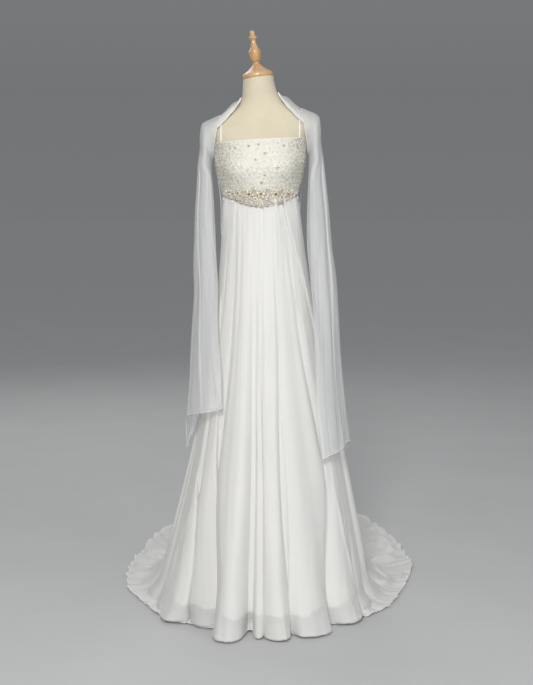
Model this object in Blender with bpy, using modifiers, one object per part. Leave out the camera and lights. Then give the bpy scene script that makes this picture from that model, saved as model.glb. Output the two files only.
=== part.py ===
# Wedding dress with a chiffon shrug, worn by a limbless dress form on a pole and a round foot.
# Metres, +Z up. The front faces -Y, and the origin is on the floor under the middle of the pole.
#
# A bearing is an angle round the Z axis, in degrees: 0 is the front, 90 the picture's right
# (+X), 180 the back and -90 the picture's left.

from math import pi, radians

import bpy
import numpy as np

# Driving sizes
SEAM_Z = 1.222            # empire seam between bodice and skirt
BODICE_TOP = 1.384        # straight top edge of the bodice at the front
BODICE_BACK_TOP = 1.352   # the back is cut a little lower
NECK_TOP = 1.566          # where the wooden cap sits on the form
TORSO_FOOT = 0.840        # underside of the form, inside the skirt
SEAM_GAP = 0.0003         # clearance between two sewn pieces
HALF_SEAM = 0.00035       # half the gap on the outer face of an upright seam, where the walls'
                          # inner edges lean together
FLOOR_GAP = 0.0005        # lowest cloth above the floor

# Cloth thicknesses
CHIFFON = 0.0015
SHRUG_CHIFFON = 0.0012    # the shrug and its sleeves are a lighter one
LACE = 0.0020
LINING = 0.0012

# How far the outer face of each layer stands off the form's skin
LINING_AWAY = 0.0024
SKIRT_AWAY = 0.0044
BODICE_AWAY = 0.0050
STRAP_AWAY = 0.0030
SHRUG_AWAY = 0.0092
TRIM_GAP = 0.0010

PARTS = "wedding_dress"


def table(columns, *rows):
    """One array for each named column."""
    return dict(zip(columns.split(), np.array(rows, float).T))


# The form's horizontal sections: half its width, its depth before and behind the middle line,
# and how far that line lies behind the Z axis.
FORM = table(
    "z width front back middle",
    (0.840, 0.080, 0.070, 0.076, 0.006),
    (0.900, 0.092, 0.080, 0.088, 0.006),
    (0.970, 0.097, 0.084, 0.092, 0.004),
    (1.050, 0.095, 0.080, 0.084, 0.002),
    (1.120, 0.092, 0.077, 0.076, 0.001),
    (1.180, 0.098, 0.082, 0.080, 0.000),
    (1.222, 0.105, 0.088, 0.086, 0.000),
    (1.270, 0.118, 0.096, 0.093, 0.000),
    (1.320, 0.128, 0.098, 0.096, 0.000),
    (1.360, 0.130, 0.092, 0.095, 0.001),
    (1.395, 0.140, 0.081, 0.090, 0.003),
    (1.425, 0.150, 0.070, 0.080, 0.006),
    (1.448, 0.134, 0.061, 0.070, 0.008),
    (1.468, 0.101, 0.055, 0.062, 0.008),
    (1.488, 0.069, 0.050, 0.055, 0.006),
    (1.508, 0.055, 0.047, 0.050, 0.002),
    (1.535, 0.048, 0.045, 0.046, -0.004),
    (1.566, 0.044, 0.044, 0.044, -0.008),
)
CUP = {"bearing": 32.0, "z": 1.302, "out": 0.020, "spread": 22.0, "height": 0.036}
NECK_SHIFT = -0.006       # the neck's top lies this far along X
NECK_BASE = 1.488
SHOULDER_TURN_Z = 1.375   # above this the form turns fast, and has a ring between each two
WAIST = 0.105             # the form's mean radius at the seam

# The form stands a little out of true: what lies at +X rises by this much for each metre.
LEAN = table(
    "z rise",
    (1.222, 0.000),
    (1.300, 0.035),
    (1.380, 0.062),
    (1.440, 0.064),
    (1.500, 0.115),
    (1.566, 0.136),
    (1.700, 0.136),
)

# The hem on the floor, where the hanging cloth would meet the floor, and the share of its flare
# that is a straight line, the rest growing as a square.
HEM = table(
    "bearing reach fall line",
    (-180, 1.140, 0.430, 0.30),
    (-168, 1.020, 0.420, 0.30),
    (-158, 0.880, 0.405, 0.28),
    (-150, 0.765, 0.395, 0.25),
    (-141, 0.645, 0.380, 0.22),
    (-125, 0.527, 0.350, 0.18),
    (-112, 0.462, 0.328, 0.15),
    (-99, 0.416, 0.314, 0.14),
    (-88, 0.378, 0.308, 0.15),
    (-77, 0.352, 0.306, 0.18),
    (-61, 0.342, 0.314, 0.28),
    (-45, 0.334, 0.325, 0.38),
    (-30, 0.308, 0.308, 0.45),
    (-14, 0.335, 0.335, 0.50),
    (0, 0.322, 0.322, 0.50),
    (14, 0.335, 0.335, 0.50),
    (26, 0.335, 0.335, 0.52),
    (38, 0.318, 0.318, 0.58),
    (48, 0.334, 0.324, 0.66),
    (59, 0.362, 0.320, 0.74),
    (72, 0.388, 0.312, 0.80),
    (86, 0.412, 0.310, 0.80),
    (108, 0.490, 0.335, 0.62),
    (122, 0.590, 0.362, 0.46),
    (132, 0.660, 0.382, 0.38),
    (140, 0.742, 0.395, 0.34),
    (151, 0.895, 0.410, 0.31),
    (161, 1.050, 0.420, 0.30),
    (172, 1.125, 0.428, 0.30),
    (180, 1.140, 0.430, 0.30),
)
HEM_SIDE = 78.0           # bearing of the side seams at the hem
CORNER = 0.17             # length on the floor over which the hanging cloth turns to lie down
CORNER_LIFT = 1.15        # the bend starts this many times that length above the floor
BEND_WAY = 1.08           # the bend is this many times as long as its chord
HANGING_SLOPE = 34.0      # up to this slope off plumb, in degrees, the cloth counts as hanging
FAN_SHARE = 0.71          # the columns have reached their hem bearings this share of the way

# Where the columns of cloth that fan out from the gathers reach the hem.
FAN = table(
    "hem waist",
    (-180, -180),
    (-130, -136),
    (-78, -90),
    (-53, -66),
    (-27, -40),
    (-7.5, -13),
    (1.7, 1),
    (13.5, 20),
    (41.5, 46),
    (60, 68),
    (78, 90),
    (130, 136),
    (180, 180),
)

# The flutes of the skirt, each a ridge that opens from the waist to the hem.
FLUTES = table(
    "bearing half_width out",
    (-171, 9, 0.022),
    (-153, 11, 0.034),
    (-133, 9, 0.026),
    (-117, 8, 0.020),
    (-102, 8, 0.026),
    (-88, 8, 0.022),
    (-66, 9, 0.020),
    (-52, 9, 0.030),
    (-35, 8, 0.022),
    (-16, 10, 0.058),
    (-2.6, 4.6, 0.034),
    (7.6, 6.2, 0.052),
    (26.5, 13, 0.044),
    (52, 11, 0.034),
    (68, 8, 0.022),
    (88, 10, 0.026),
    (104, 8, 0.022),
    (120, 9, 0.030),
    (140, 12, 0.026),
    (160, 9, 0.036),
    (177, 8, 0.020),
)
FLUTE_ON_FLOOR = 0.30     # height that a flute keeps where the cloth lies on the floor
GATHER_OUT = 0.0024       # each gather under the seam stands out this much
GATHER_OUT_BACK = 0.0019
GATHER_SHARE = 0.16       # and is lost this share of the way to the hem
RUFFLE_OUT = 0.009        # the train's edge curls up this much at each wave
RUFFLE_ASIDE = 0.0054     # and outwards this much
RUFFLE_SHARE = 0.10

FRONT_COLUMNS = 52        # two columns to a gather, so 26 gathers across the front
BACK_COLUMNS = 76         # two columns to a ruffle wave, so 38 waves round the train
FRONT_ROWS = (0, 0.035, 0.09, 0.17, 0.28, 0.40, 0.52, 0.64, 0.76, 0.88, 0.96, 1)
BACK_ROWS = (0, 0.03, 0.09, 0.18, 0.29, 0.41, 0.52, 0.61, 0.70, 0.80, 0.90, 0.97, 1)

LINING_HEM = 0.050        # the lining ends this far above the floor
LINING_INSIDE = 0.007     # and hangs this far inside the chiffon,
LINING_DROP = 0.25        # reached this far below the seam
LINING_BELOW_SEAM = 0.012

# The shrug from its collar to its edge: the front edge, the armhole, then the back's hem. At the
# armhole, ring is where its edge meets the sleeve.
SHRUG = table(
    "neck_bearing neck_z end_bearing end_z ring",
    (70, 1.512, 50, 1.418, 70),
    (82, 1.520, 68, 1.438, 38),
    (94, 1.526, 90, 1.450, 6),
    (105, 1.530, 112, 1.440, -30),
    (115, 1.532, 121, 1.405, -72),
    (125, 1.532, 119, 1.345, -128),
    (136, 1.532, 117, 1.215, -128),
    (148, 1.532, 126, 1.100, -128),
    (164, 1.532, 150, 1.064, -128),
    (180, 1.532, 180, 1.055, -128),
)
SHRUG_AT_ARMHOLE = 5      # rows of the table whose edge lies at the armhole
SHRUG_SAG = 17.0          # degrees that the front edge swings forward of a straight course
SHRUG_COLUMNS = 34
SHRUG_ROWS = 12
SHRUG_HANG = 1.385        # below this the back of the shrug hangs clear of the form
SHRUG_FLARE = 0.16        # moving out by this much for each metre of drop
SHRUG_BRIDGE = 0.012      # it bridges the hollow between neck and shoulder,
SHRUG_BRIDGE_HEIGHT = 0.022
SHRUG_PLEAT = 0.004       # depth of the back's soft pleats
SHRUG_PLEATS = 12         # in a full turn
SHRUG_ARM_GAP = 0.0010    # clearance to the sleeve at the armhole

# The sleeve's way over the shoulder: rings that turn about the armpit.
ARMPIT = (0.1430, 1.338)
SHOULDER = table(
    "turn length depth",
    (-10, 0.132, 0.050),
    (0, 0.122, 0.053),
    (15, 0.112, 0.056),
    (22, 0.091, 0.0575),
    (43, 0.0515, 0.0595),
    (90, 0.0395, 0.061),
)
SHOULDER_MIDDLE = 0.006   # the armhole's middle lies this far behind the Z axis
UNDERARM_DROP = 0.010     # the underarm sinks this much for each radian of the turn

# The hanging sleeves: the bearings of their front and back folds, the least radius of the inner
# layer, and the room between the two layers.
SLEEVE = {
    "right": table(
        "z front back inner room",
        (1.29, 69, 111, 0.143, 0.042),
        (1.20, 66, 111, 0.139, 0.056),
        (1.05, 60, 110, 0.142, 0.064),
        (0.90, 55, 108, 0.150, 0.054),
        (0.75, 50, 106, 0.165, 0.038),
        (0.60, 46, 106, 0.180, 0.026),
        (0.40, 44, 108, 0.200, 0.016),
    ),
    "left": table(
        "z front back inner room",
        (1.29, 69, 111, 0.143, 0.040),
        (1.20, 65, 111, 0.138, 0.050),
        (1.05, 56, 110, 0.138, 0.055),
        (0.90, 47, 108, 0.140, 0.052),
        (0.75, 38, 105, 0.146, 0.044),
        (0.60, 31, 103, 0.154, 0.028),
        (0.40, 30, 103, 0.170, 0.018),
    ),
}
# The cuff's height round the sleeve: at its front fold, outer side, back fold and inner side.
CUFF = {
    "right": {"front": 0.470, "outside": 0.500, "back": 0.402, "inside": 0.470},
    "left": {"front": 0.608, "outside": 0.588, "back": 0.457, "inside": 0.550},
}
SLEEVE_FROM_SKIRT = 0.006
SLEEVE_FOLDS = table(
    "turn half_width out",
    (38, 26, 0.0050),
    (-8, 22, 0.0040),
    (-50, 24, 0.0045),
)
SLEEVE_COLUMNS = 18
SLEEVE_ROWS = 9

# The beaded trim over the empire seam: its ends, its edges and its flowers.
TRIM_END = 64.0
TRIM_CORE = {"middle": 1.218, "rise": 0.008, "half": 0.015, "half_at_end": 0.003}
TRIM_BASE = 0.0024        # thickness of the backing under the beads
TRIM_BLEND = 0.010        # height over which it passes from the skirt's face to the bodice's
PETALS = 5
PETAL_DEPTH = 0.18        # share of a flower's radius that is cut in between two petals
FLOWERS = table(
    "bearing z radius out",
    (-62, 1.224, 0.0070, 0.0024),
    (-51, 1.218, 0.0090, 0.0034),
    (-40, 1.223, 0.0125, 0.0046),
    (-28, 1.220, 0.0095, 0.0036),
    (-15, 1.220, 0.0135, 0.0050),
    (1, 1.219, 0.0145, 0.0054),
    (22, 1.221, 0.0140, 0.0050),
    (33, 1.221, 0.0095, 0.0036),
    (42, 1.225, 0.0120, 0.0046),
    (52, 1.220, 0.0090, 0.0034),
    (62, 1.226, 0.0070, 0.0024),
    (-33, 1.206, 0.0070, 0.0028),
    (-22, 1.202, 0.0070, 0.0030),
    (-14, 1.200, 0.0075, 0.0030),
    (-5, 1.198, 0.0080, 0.0034),
    (3, 1.196, 0.0080, 0.0034),
    (12, 1.198, 0.0075, 0.0030),
    (21, 1.201, 0.0075, 0.0030),
    (32, 1.206, 0.0065, 0.0028),
    (43, 1.209, 0.0060, 0.0026),
    (-34, 1.238, 0.0055, 0.0022),
    (-16, 1.238, 0.0060, 0.0024),
    (1, 1.239, 0.0065, 0.0026),
    (21, 1.239, 0.0060, 0.0024),
    (40, 1.240, 0.0055, 0.0022),
)
TRIM_COLUMNS = 52
TRIM_ROWS = 8

# The bodice
BODICE_SIDE = 90.0        # bearing of its side seams
BODICE_UNDERARM = 62.0    # from here its top edge slopes down to the side seams

# The straps
STRAP_ASIDE = 0.1145
STRAP_RADIUS = 0.0018
STRAP_POINTS = 17

# The stand
POLE_RADIUS = 0.0125
FOOT_RADIUS = 0.150
FOOT_TOP = 0.024
FOOT = (
    (0.000, FOOT_TOP),
    (0.030, FOOT_TOP),
    (0.036, 0.018),
    (0.110, 0.014),
    (FOOT_RADIUS - 0.006, 0.010),
    (FOOT_RADIUS, 0.005),
    (FOOT_RADIUS, 0.000),
    (0.000, 0.000),
)

# The wooden cap and its finial, turned: radius and height above the neck.
FINIAL = (
    (0.0000, 0.1370),
    (0.0070, 0.1350),
    (0.0078, 0.1290),
    (0.0068, 0.1235),
    (0.0115, 0.1180),
    (0.0118, 0.1130),
    (0.0066, 0.1070),
    (0.0072, 0.0980),
    (0.0120, 0.0860),
    (0.0172, 0.0780),
    (0.0180, 0.0735),
    (0.0168, 0.0620),
    (0.0138, 0.0500),
    (0.0090, 0.0455),
    (0.0098, 0.0400),
    (0.0160, 0.0330),
    (0.0260, 0.0240),
    (0.0380, 0.0165),
    (0.0450, 0.0120),
    (0.0462, 0.0060),
    (0.0440, 0.0003),
    (0.0000, 0.0003),
)


# Curves and surfaces

def curve(at, places, values):
    """A smooth curve through the values: on each span a cubic with its neighbours' slopes."""
    slopes = np.gradient(values, places)
    span = np.clip(np.searchsorted(places, at, side="right") - 1, 0, len(places) - 2)
    width = places[span + 1] - places[span]
    t = np.clip((at - places[span]) / width, 0, 1)
    from_here = (2 * t**3 - 3 * t**2 + 1) * values[span]
    to_next = (3 * t**2 - 2 * t**3) * values[span + 1]
    bend = (t**3 - 2 * t**2 + t) * slopes[span] + (t**3 - t**2) * slopes[span + 1]
    return from_here + to_next + bend * width


def ease(t):
    """0 to 1, level at both ends."""
    t = np.clip(t, 0, 1)
    return t * t * (3 - 2 * t)


def ridge(distance, half_width):
    """A soft ridge: 1 on its line and 0 from half_width outwards."""
    return np.cos(np.clip(np.abs(distance) / half_width, 0, 1) * pi / 2) ** 2


def even_rows(points, count):
    """The same surface in count rows of faces, evenly spaced down each column."""
    steps = np.linalg.norm(np.diff(points, axis=0), axis=-1)
    ways = np.concatenate([np.zeros((1, steps.shape[1])), np.cumsum(steps, axis=0)])
    columns = []
    for way, column in zip(ways.T, points.swapaxes(0, 1)):
        at = np.linspace(0, way[-1], count + 1)
        columns.append(np.stack([np.interp(at, way, axis) for axis in column.T], -1))
    return np.stack(columns, axis=1)


def polar(bearing, radius, z):
    turn = np.radians(bearing)
    return np.stack(np.broadcast_arrays(radius * np.sin(turn), -radius * np.cos(turn), z), -1)


def parted(points):
    """A panel with its first and last columns moved in from its seams."""
    for edge, beside in ((0, 1), (-1, -2)):
        way = points[:, beside] - points[:, edge]
        points[:, edge] += HALF_SEAM * way / np.linalg.norm(way, axis=-1, keepdims=True)
    return points


def form_skin(bearing, z):
    """The form's skin: an ellipse at each height, with a soft mound for each cup."""
    width, front, back, middle = (
        curve(z, FORM["z"], FORM[name]) for name in ("width", "front", "back", "middle")
    )
    turn = np.radians(bearing)
    depth = np.where(np.cos(turn) > 0, front, back)
    aside = np.abs((bearing + 180) % 360 - 180) - CUP["bearing"]
    mound = np.exp(-((aside / CUP["spread"]) ** 2) - ((z - CUP["z"]) / CUP["height"]) ** 2)
    out = CUP["out"] * mound
    on_neck = ease((z - NECK_BASE) / (NECK_TOP - NECK_BASE))
    x = (width + out) * np.sin(turn) + NECK_SHIFT * on_neck
    y = middle - (depth + out) * np.cos(turn)
    return leaned(np.stack(np.broadcast_arrays(x, y, z), -1))


def leaned(points):
    """The points with the form's lean."""
    x, y, z = np.moveaxis(points, -1, 0)
    return np.stack([x, y, z + x * curve(z, LEAN["z"], LEAN["rise"])], -1)


def form_point(bearing, z, away, level=True):
    """A point of the form's skin, moved out by away: along the skin's normal, or level."""
    bearing, z = np.broadcast_arrays(np.asarray(bearing, float), np.asarray(z, float))
    round_it = form_skin(bearing + 0.5, z) - form_skin(bearing - 0.5, z)
    up_it = form_skin(bearing, z + 0.001) - form_skin(bearing, z - 0.001)
    normal = np.cross(round_it, up_it)
    if level:
        normal[..., 2] = 0
    normal /= np.linalg.norm(normal, axis=-1, keepdims=True)
    return form_skin(bearing, z) + normal * np.asarray(away)[..., None]


def hem_line(bearing, name):
    bearing = (np.asarray(bearing, float) + 180) % 360 - 180
    return curve(bearing, HEM["bearing"], HEM[name])


def waist_radius(turn, away):
    """The form's radius at the seam in the direction turn, plus away."""
    turn = np.radians(turn)
    width = curve(SEAM_Z, FORM["z"], FORM["width"])
    depth = np.where(
        np.cos(turn) > 0,
        curve(SEAM_Z, FORM["z"], FORM["front"]),
        curve(SEAM_Z, FORM["z"], FORM["back"]),
    )
    return width * depth / np.hypot(depth * np.sin(turn), width * np.cos(turn)) + away


def waist_bearing(hem_bearing):
    """The bearing at the waist of the column of cloth that ends at hem_bearing."""
    return curve(hem_bearing, FAN["hem"], FAN["waist"])


def skirt_path(bearing, waist, share):
    """Radius and height, a share of the way from waist to hem: down to a corner, round it on a
    quadratic curve, then flat along the floor."""
    reach = hem_line(bearing, "reach")
    fall = np.minimum(hem_line(bearing, "fall"), reach)
    lie = reach - fall
    corner = np.minimum(lie, CORNER)
    lift = CORNER_LIFT * corner
    drop = 1 - lift / SEAM_Z
    line = hem_line(bearing, "line")
    bend_radius = waist + (fall - waist) * hang_share(drop, line)
    hang_length = np.hypot(bend_radius - waist, SEAM_Z - lift)
    bend_length = BEND_WAY * np.hypot(fall + corner - bend_radius, lift)
    floor_length = lie - corner
    way = share * (hang_length + bend_length + floor_length)
    down = np.clip(way / hang_length, 0, 1) * drop
    turned = np.clip((way - hang_length) / np.maximum(bend_length, 1e-6), 0, 1)
    along = np.clip(way - hang_length - bend_length, 0, None)
    hang_radius = waist + (fall - waist) * hang_share(down, line)
    bend = (1 - turned) ** 2 * bend_radius + 2 * turned * (1 - turned) * fall
    bend = bend + turned**2 * (fall + corner)
    hanging = way < hang_length
    radius = np.where(hanging, hang_radius, bend + along)
    z = np.where(hanging, SEAM_Z * (1 - down), lift * (1 - turned) ** 2)
    return radius, z


def hang_share(drop, line):
    """The share of its flare that the hanging cloth has after a share of its drop."""
    return line * drop + (1 - line) * drop**2


def flute(hem_bearing):
    """How far the flutes stand out at the hem."""
    aside = (np.asarray(hem_bearing, float)[..., None] - FLUTES["bearing"] + 180) % 360 - 180
    return (ridge(aside, FLUTES["half_width"]) * FLUTES["out"]).max(-1)


def skirt_point(hem_bearing, share, gather, ruffle):
    """The skirt's outer face. gather is how far the column stands out at the seam, and ruffle,
    0 or 1, whether it curls up at the hem."""
    top_turn = waist_bearing(hem_bearing)
    waist = waist_radius(top_turn, SKIRT_AWAY)
    radius, z = skirt_path(hem_bearing, waist, share)
    step = 0.01
    next_radius, next_z = skirt_path(hem_bearing, waist, share + step)
    last_radius, last_z = skirt_path(hem_bearing, waist, share - step)
    slope = np.degrees(np.arctan2(next_radius - last_radius, last_z - next_z))
    flat = ease((slope - HANGING_SLOPE) / (90 - HANGING_SLOPE))
    turn = top_turn + ((hem_bearing - top_turn + 180) % 360 - 180) * ease(share / FAN_SHARE)
    out = flute(hem_bearing) * share
    gathered = gather * (1 - ease(share / GATHER_SHARE))
    curled = ruffle * flat * ease((share - 1 + RUFFLE_SHARE) / RUFFLE_SHARE)
    radius = radius + out * (1 - flat) + gathered + RUFFLE_ASIDE * curled
    up = FLUTE_ON_FLOOR * out * flat * (1.5 - share) + RUFFLE_OUT * curled
    z = np.maximum(z + up, CHIFFON + FLOOR_GAP)
    return polar(turn, radius, z - SEAM_GAP * (share == 0))


def skirt_outside(bearing, z):
    """The largest radius of the skirt near a bearing, at a height where it hangs."""
    waist = waist_radius(bearing, SKIRT_AWAY)
    near = np.max([flute(bearing + step) for step in (-9, -6, -3, 0, 3, 6, 9)], axis=0)
    return waist + flare(bearing, z, waist) + near * np.clip(1 - z / SEAM_Z, 0, 1) + 2 * CHIFFON


def flare(bearing, z, waist):
    """How far the hanging cloth has moved out from the waist at a height."""
    fall = np.minimum(hem_line(bearing, "fall"), hem_line(bearing, "reach"))
    line = hem_line(bearing, "line")
    return (fall - waist) * hang_share(np.clip(1 - z / SEAM_Z, 0, 1), line)


# Blender objects

def material(name, colour, roughness, metallic=0.0):
    made = bpy.data.materials.new(name)
    made.use_nodes = True
    shader = made.node_tree.nodes["Principled BSDF"]
    shader.inputs["Base Color"].default_value = (*colour, 1.0)
    shader.inputs["Roughness"].default_value = roughness
    shader.inputs["Metallic"].default_value = metallic
    return made


def grid_object(name, points, finish, closed=False, capped=False):
    """A surface through a grid of points, rows from top to bottom and columns by bearing, so
    that its faces point out. A closed one joins its last column to its first."""
    rows, columns = points.shape[:2]
    index = np.arange(rows * columns).reshape(rows, columns)
    beside = np.roll(index, -1, axis=1) if closed else index[:, 1:]
    here = index if closed else index[:, :-1]
    corners = (here[:-1], here[1:], beside[1:], beside[:-1])
    faces = np.stack(corners, -1).reshape(-1, 4).tolist()
    if capped:
        faces.append(index[0].tolist())
        faces.append(index[-1][::-1].tolist())
    mesh = bpy.data.meshes.new(name)
    mesh.from_pydata(points.reshape(-1, 3).tolist(), [], faces)
    mesh.shade_smooth()
    mesh.materials.append(finish)
    made = bpy.data.objects.new(name, mesh)
    bpy.data.collections[PARTS].objects.link(made)
    return made


def cloth(name, points, finish, thickness, closed=False):
    """A wall of cloth inside the surface through the points."""
    made = grid_object(name, points, finish, closed)
    wall = made.modifiers.new("wall", "SOLIDIFY")
    wall.thickness = thickness
    wall.offset = -1
    return made


def turned(name, profile, finish, steps):
    """A solid turned round Z from a profile that runs down its outer side."""
    mesh = bpy.data.meshes.new(name)
    points = [(radius, 0, z) for radius, z in profile]
    mesh.from_pydata(points, [(i, i + 1) for i in range(len(points) - 1)], [])
    mesh.materials.append(finish)
    made = bpy.data.objects.new(name, mesh)
    bpy.data.collections[PARTS].objects.link(made)
    screw = made.modifiers.new("turn", "SCREW")
    screw.steps = steps
    screw.render_steps = steps
    screw.use_merge_vertices = True
    screw.merge_threshold = 0.0001
    return made


def tube(name, points, radius, finish):
    """A round cord through the points, with filled ends."""
    line = bpy.data.curves.new(name, "CURVE")
    line.dimensions = "3D"
    spline = line.splines.new("POLY")
    spline.points.add(len(points) - 1)
    for place, point in zip(spline.points, points):
        place.co = (*point, 1.0)
    line.bevel_depth = radius
    line.bevel_resolution = 1
    line.use_fill_caps = True
    line.materials.append(finish)
    made = bpy.data.objects.new(name, line)
    bpy.data.collections[PARTS].objects.link(made)
    return made


# The form and its stand

def make_form(skin, wood, metal):
    """The padded torso with its neck, the turned cap, the pole and the foot."""
    bearings = np.linspace(0, 360, 24, endpoint=False)
    between = (FORM["z"][:-1] + FORM["z"][1:]) / 2
    heights = np.sort(np.append(FORM["z"], between[between > SHOULDER_TURN_Z]))[::-1]
    grid_object("form_torso", form_skin(*np.meshgrid(bearings, heights)), skin, True, True)
    cap = turned("form_neck_cap", FINIAL, wood, 16)
    top = form_skin(np.array([0.0, 180.0]), NECK_TOP).mean(0)
    cap.location = top
    cap.rotation_euler.y = -np.arctan(curve(NECK_TOP, LEAN["z"], LEAN["rise"]))
    pole_top = TORSO_FOOT - SEAM_GAP
    bpy.ops.mesh.primitive_cylinder_add(
        vertices=16,
        radius=POLE_RADIUS,
        depth=pole_top - FOOT_TOP - SEAM_GAP,
        location=(0, 0, (pole_top + FOOT_TOP + SEAM_GAP) / 2),
    )
    pole = bpy.context.object
    pole.name = "form_pole"
    pole.data.materials.append(metal)
    for holder in pole.users_collection:
        holder.objects.unlink(pole)
    bpy.data.collections[PARTS].objects.link(pole)
    turned("form_foot", FOOT, metal, 32)


# The dress

def make_bodice(lace):
    """The front, and two back panels that close down the middle with a hidden fastening."""
    low = SEAM_Z + SEAM_GAP
    shares = np.linspace(0, 1, 8)[:, None]
    bearings = np.linspace(-BODICE_SIDE, BODICE_SIDE, 25)
    slope = ease((np.abs(bearings) - BODICE_UNDERARM) / (BODICE_SIDE - BODICE_UNDERARM))
    top = BODICE_TOP - (BODICE_TOP - BODICE_BACK_TOP) * slope
    points = form_point(bearings, top + (low - top) * shares, BODICE_AWAY)
    cloth("bodice_front", parted(points), lace, LACE)
    heights = BODICE_BACK_TOP + (low - BODICE_BACK_TOP) * shares
    for name, start in (("bodice_back_right", BODICE_SIDE), ("bodice_back_left", 180)):
        bearings = np.linspace(start, start + 180 - BODICE_SIDE, 12)
        points = form_point(bearings, heights, BODICE_AWAY)
        cloth(name, parted(points), lace, LACE)


def strap_points(side):
    """A line over the shoulder at a fixed distance from the middle, found by walking out from a
    point inside the shoulder until it leaves the form."""
    inside = np.array([side * STRAP_ASIDE, 0.004, 1.385])
    turns = np.radians(np.linspace(-97, 108, 400))
    ways = np.stack([np.zeros_like(turns), np.sin(turns), np.cos(turns)], -1)
    low, high = np.zeros(len(turns)), np.full(len(turns), 0.16)
    for _ in range(40):
        middle = (low + high) / 2
        point = inside + ways * middle[:, None]
        within = form_level(point) < 1
        low, high = np.where(within, middle, low), np.where(within, high, middle)
    on_skin = inside + ways * low[:, None]
    step = np.eye(3) * 0.001
    normal = np.stack([form_level(on_skin + d) - form_level(on_skin - d) for d in step], -1)
    normal[:, 0] = 0
    normal /= np.linalg.norm(normal, axis=-1, keepdims=True)
    return on_skin + normal * STRAP_AWAY


def form_level(point):
    """Below 1 inside the form and above it outside."""
    x, y, z = np.moveaxis(point, -1, 0)
    level = z
    for _ in range(4):
        level = z - x * curve(level, LEAN["z"], LEAN["rise"])
    z = level
    width, front, back, middle = (
        curve(z, FORM["z"], FORM[name]) for name in ("width", "front", "back", "middle")
    )
    depth = np.where(y < middle, front, back)
    return (x / width) ** 2 + ((y - middle) / depth) ** 2


def make_straps(satin):
    for name, side in (("strap_left", -1), ("strap_right", 1)):
        points = strap_points(side)
        rise = side * STRAP_ASIDE * curve(BODICE_TOP, LEAN["z"], LEAN["rise"])
        edge = np.where(points[:, 1] < 0, BODICE_TOP, BODICE_BACK_TOP) + rise + STRAP_RADIUS
        points = points[points[:, 2] > edge]
        chosen = np.linspace(0, len(points) - 1, STRAP_POINTS).round().astype(int)
        tube(name, points[chosen], STRAP_RADIUS, satin)


def make_skirt(chiffon, lining):
    """The gathered front and the back with its train, whose columns are as far apart round the
    hem as its ruffle waves need, over one round lining."""
    columns = np.linspace(-HEM_SIDE, HEM_SIDE, FRONT_COLUMNS + 1)
    raised = np.arange(FRONT_COLUMNS + 1) % 2
    shares = np.array(FRONT_ROWS)[:, None]
    points = skirt_point(columns, shares, GATHER_OUT * raised, 0)
    cloth("skirt_front", parted(points), chiffon, CHIFFON)

    fine = np.linspace(HEM_SIDE, 360 - HEM_SIDE, 400)
    edge = polar(fine, hem_line(fine, "reach"), 0)
    lengths = np.append(0, np.cumsum(np.linalg.norm(np.diff(edge, axis=0), axis=1)))
    columns = np.interp(np.linspace(0, lengths[-1], BACK_COLUMNS + 1), lengths, fine)
    columns = np.where(columns > 180, columns - 360, columns)
    raised = np.arange(BACK_COLUMNS + 1) % 2
    shares = np.array(BACK_ROWS)[:, None]
    points = skirt_point(columns, shares, GATHER_OUT_BACK * raised, raised)
    cloth("skirt_back", parted(points), chiffon, CHIFFON)

    bearings = np.linspace(-180, 180, 32, endpoint=False)
    heights = np.linspace(SEAM_Z - LINING_BELOW_SEAM, LINING_HEM, 8)[:, None]
    waist = waist_radius(bearings, LINING_AWAY)
    inside = LINING_INSIDE * ease((SEAM_Z - heights) / LINING_DROP)
    radius = waist + flare(bearings, heights, waist) - inside
    cloth("skirt_lining", polar(bearings, radius, heights), lining, LINING, closed=True)


def over_seam(bearing, z, away):
    """A point of the bodice's face, or of the gathered skirt's below the seam, moved out."""
    on_skirt = 1 - ease((z - SEAM_Z) / TRIM_BLEND)
    waist = waist_radius(bearing, SKIRT_AWAY)
    drop = np.clip(1 - z / SEAM_Z, 0, 1)
    layer = BODICE_AWAY + (SKIRT_AWAY + GATHER_OUT + SEAM_GAP - BODICE_AWAY) * on_skirt
    layer = layer + flare(bearing, np.minimum(z, SEAM_Z), waist) + flute(bearing) * drop
    point = form_point(bearing, np.maximum(z, SEAM_Z), layer + away)
    point[..., 2] = z
    return point


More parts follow.
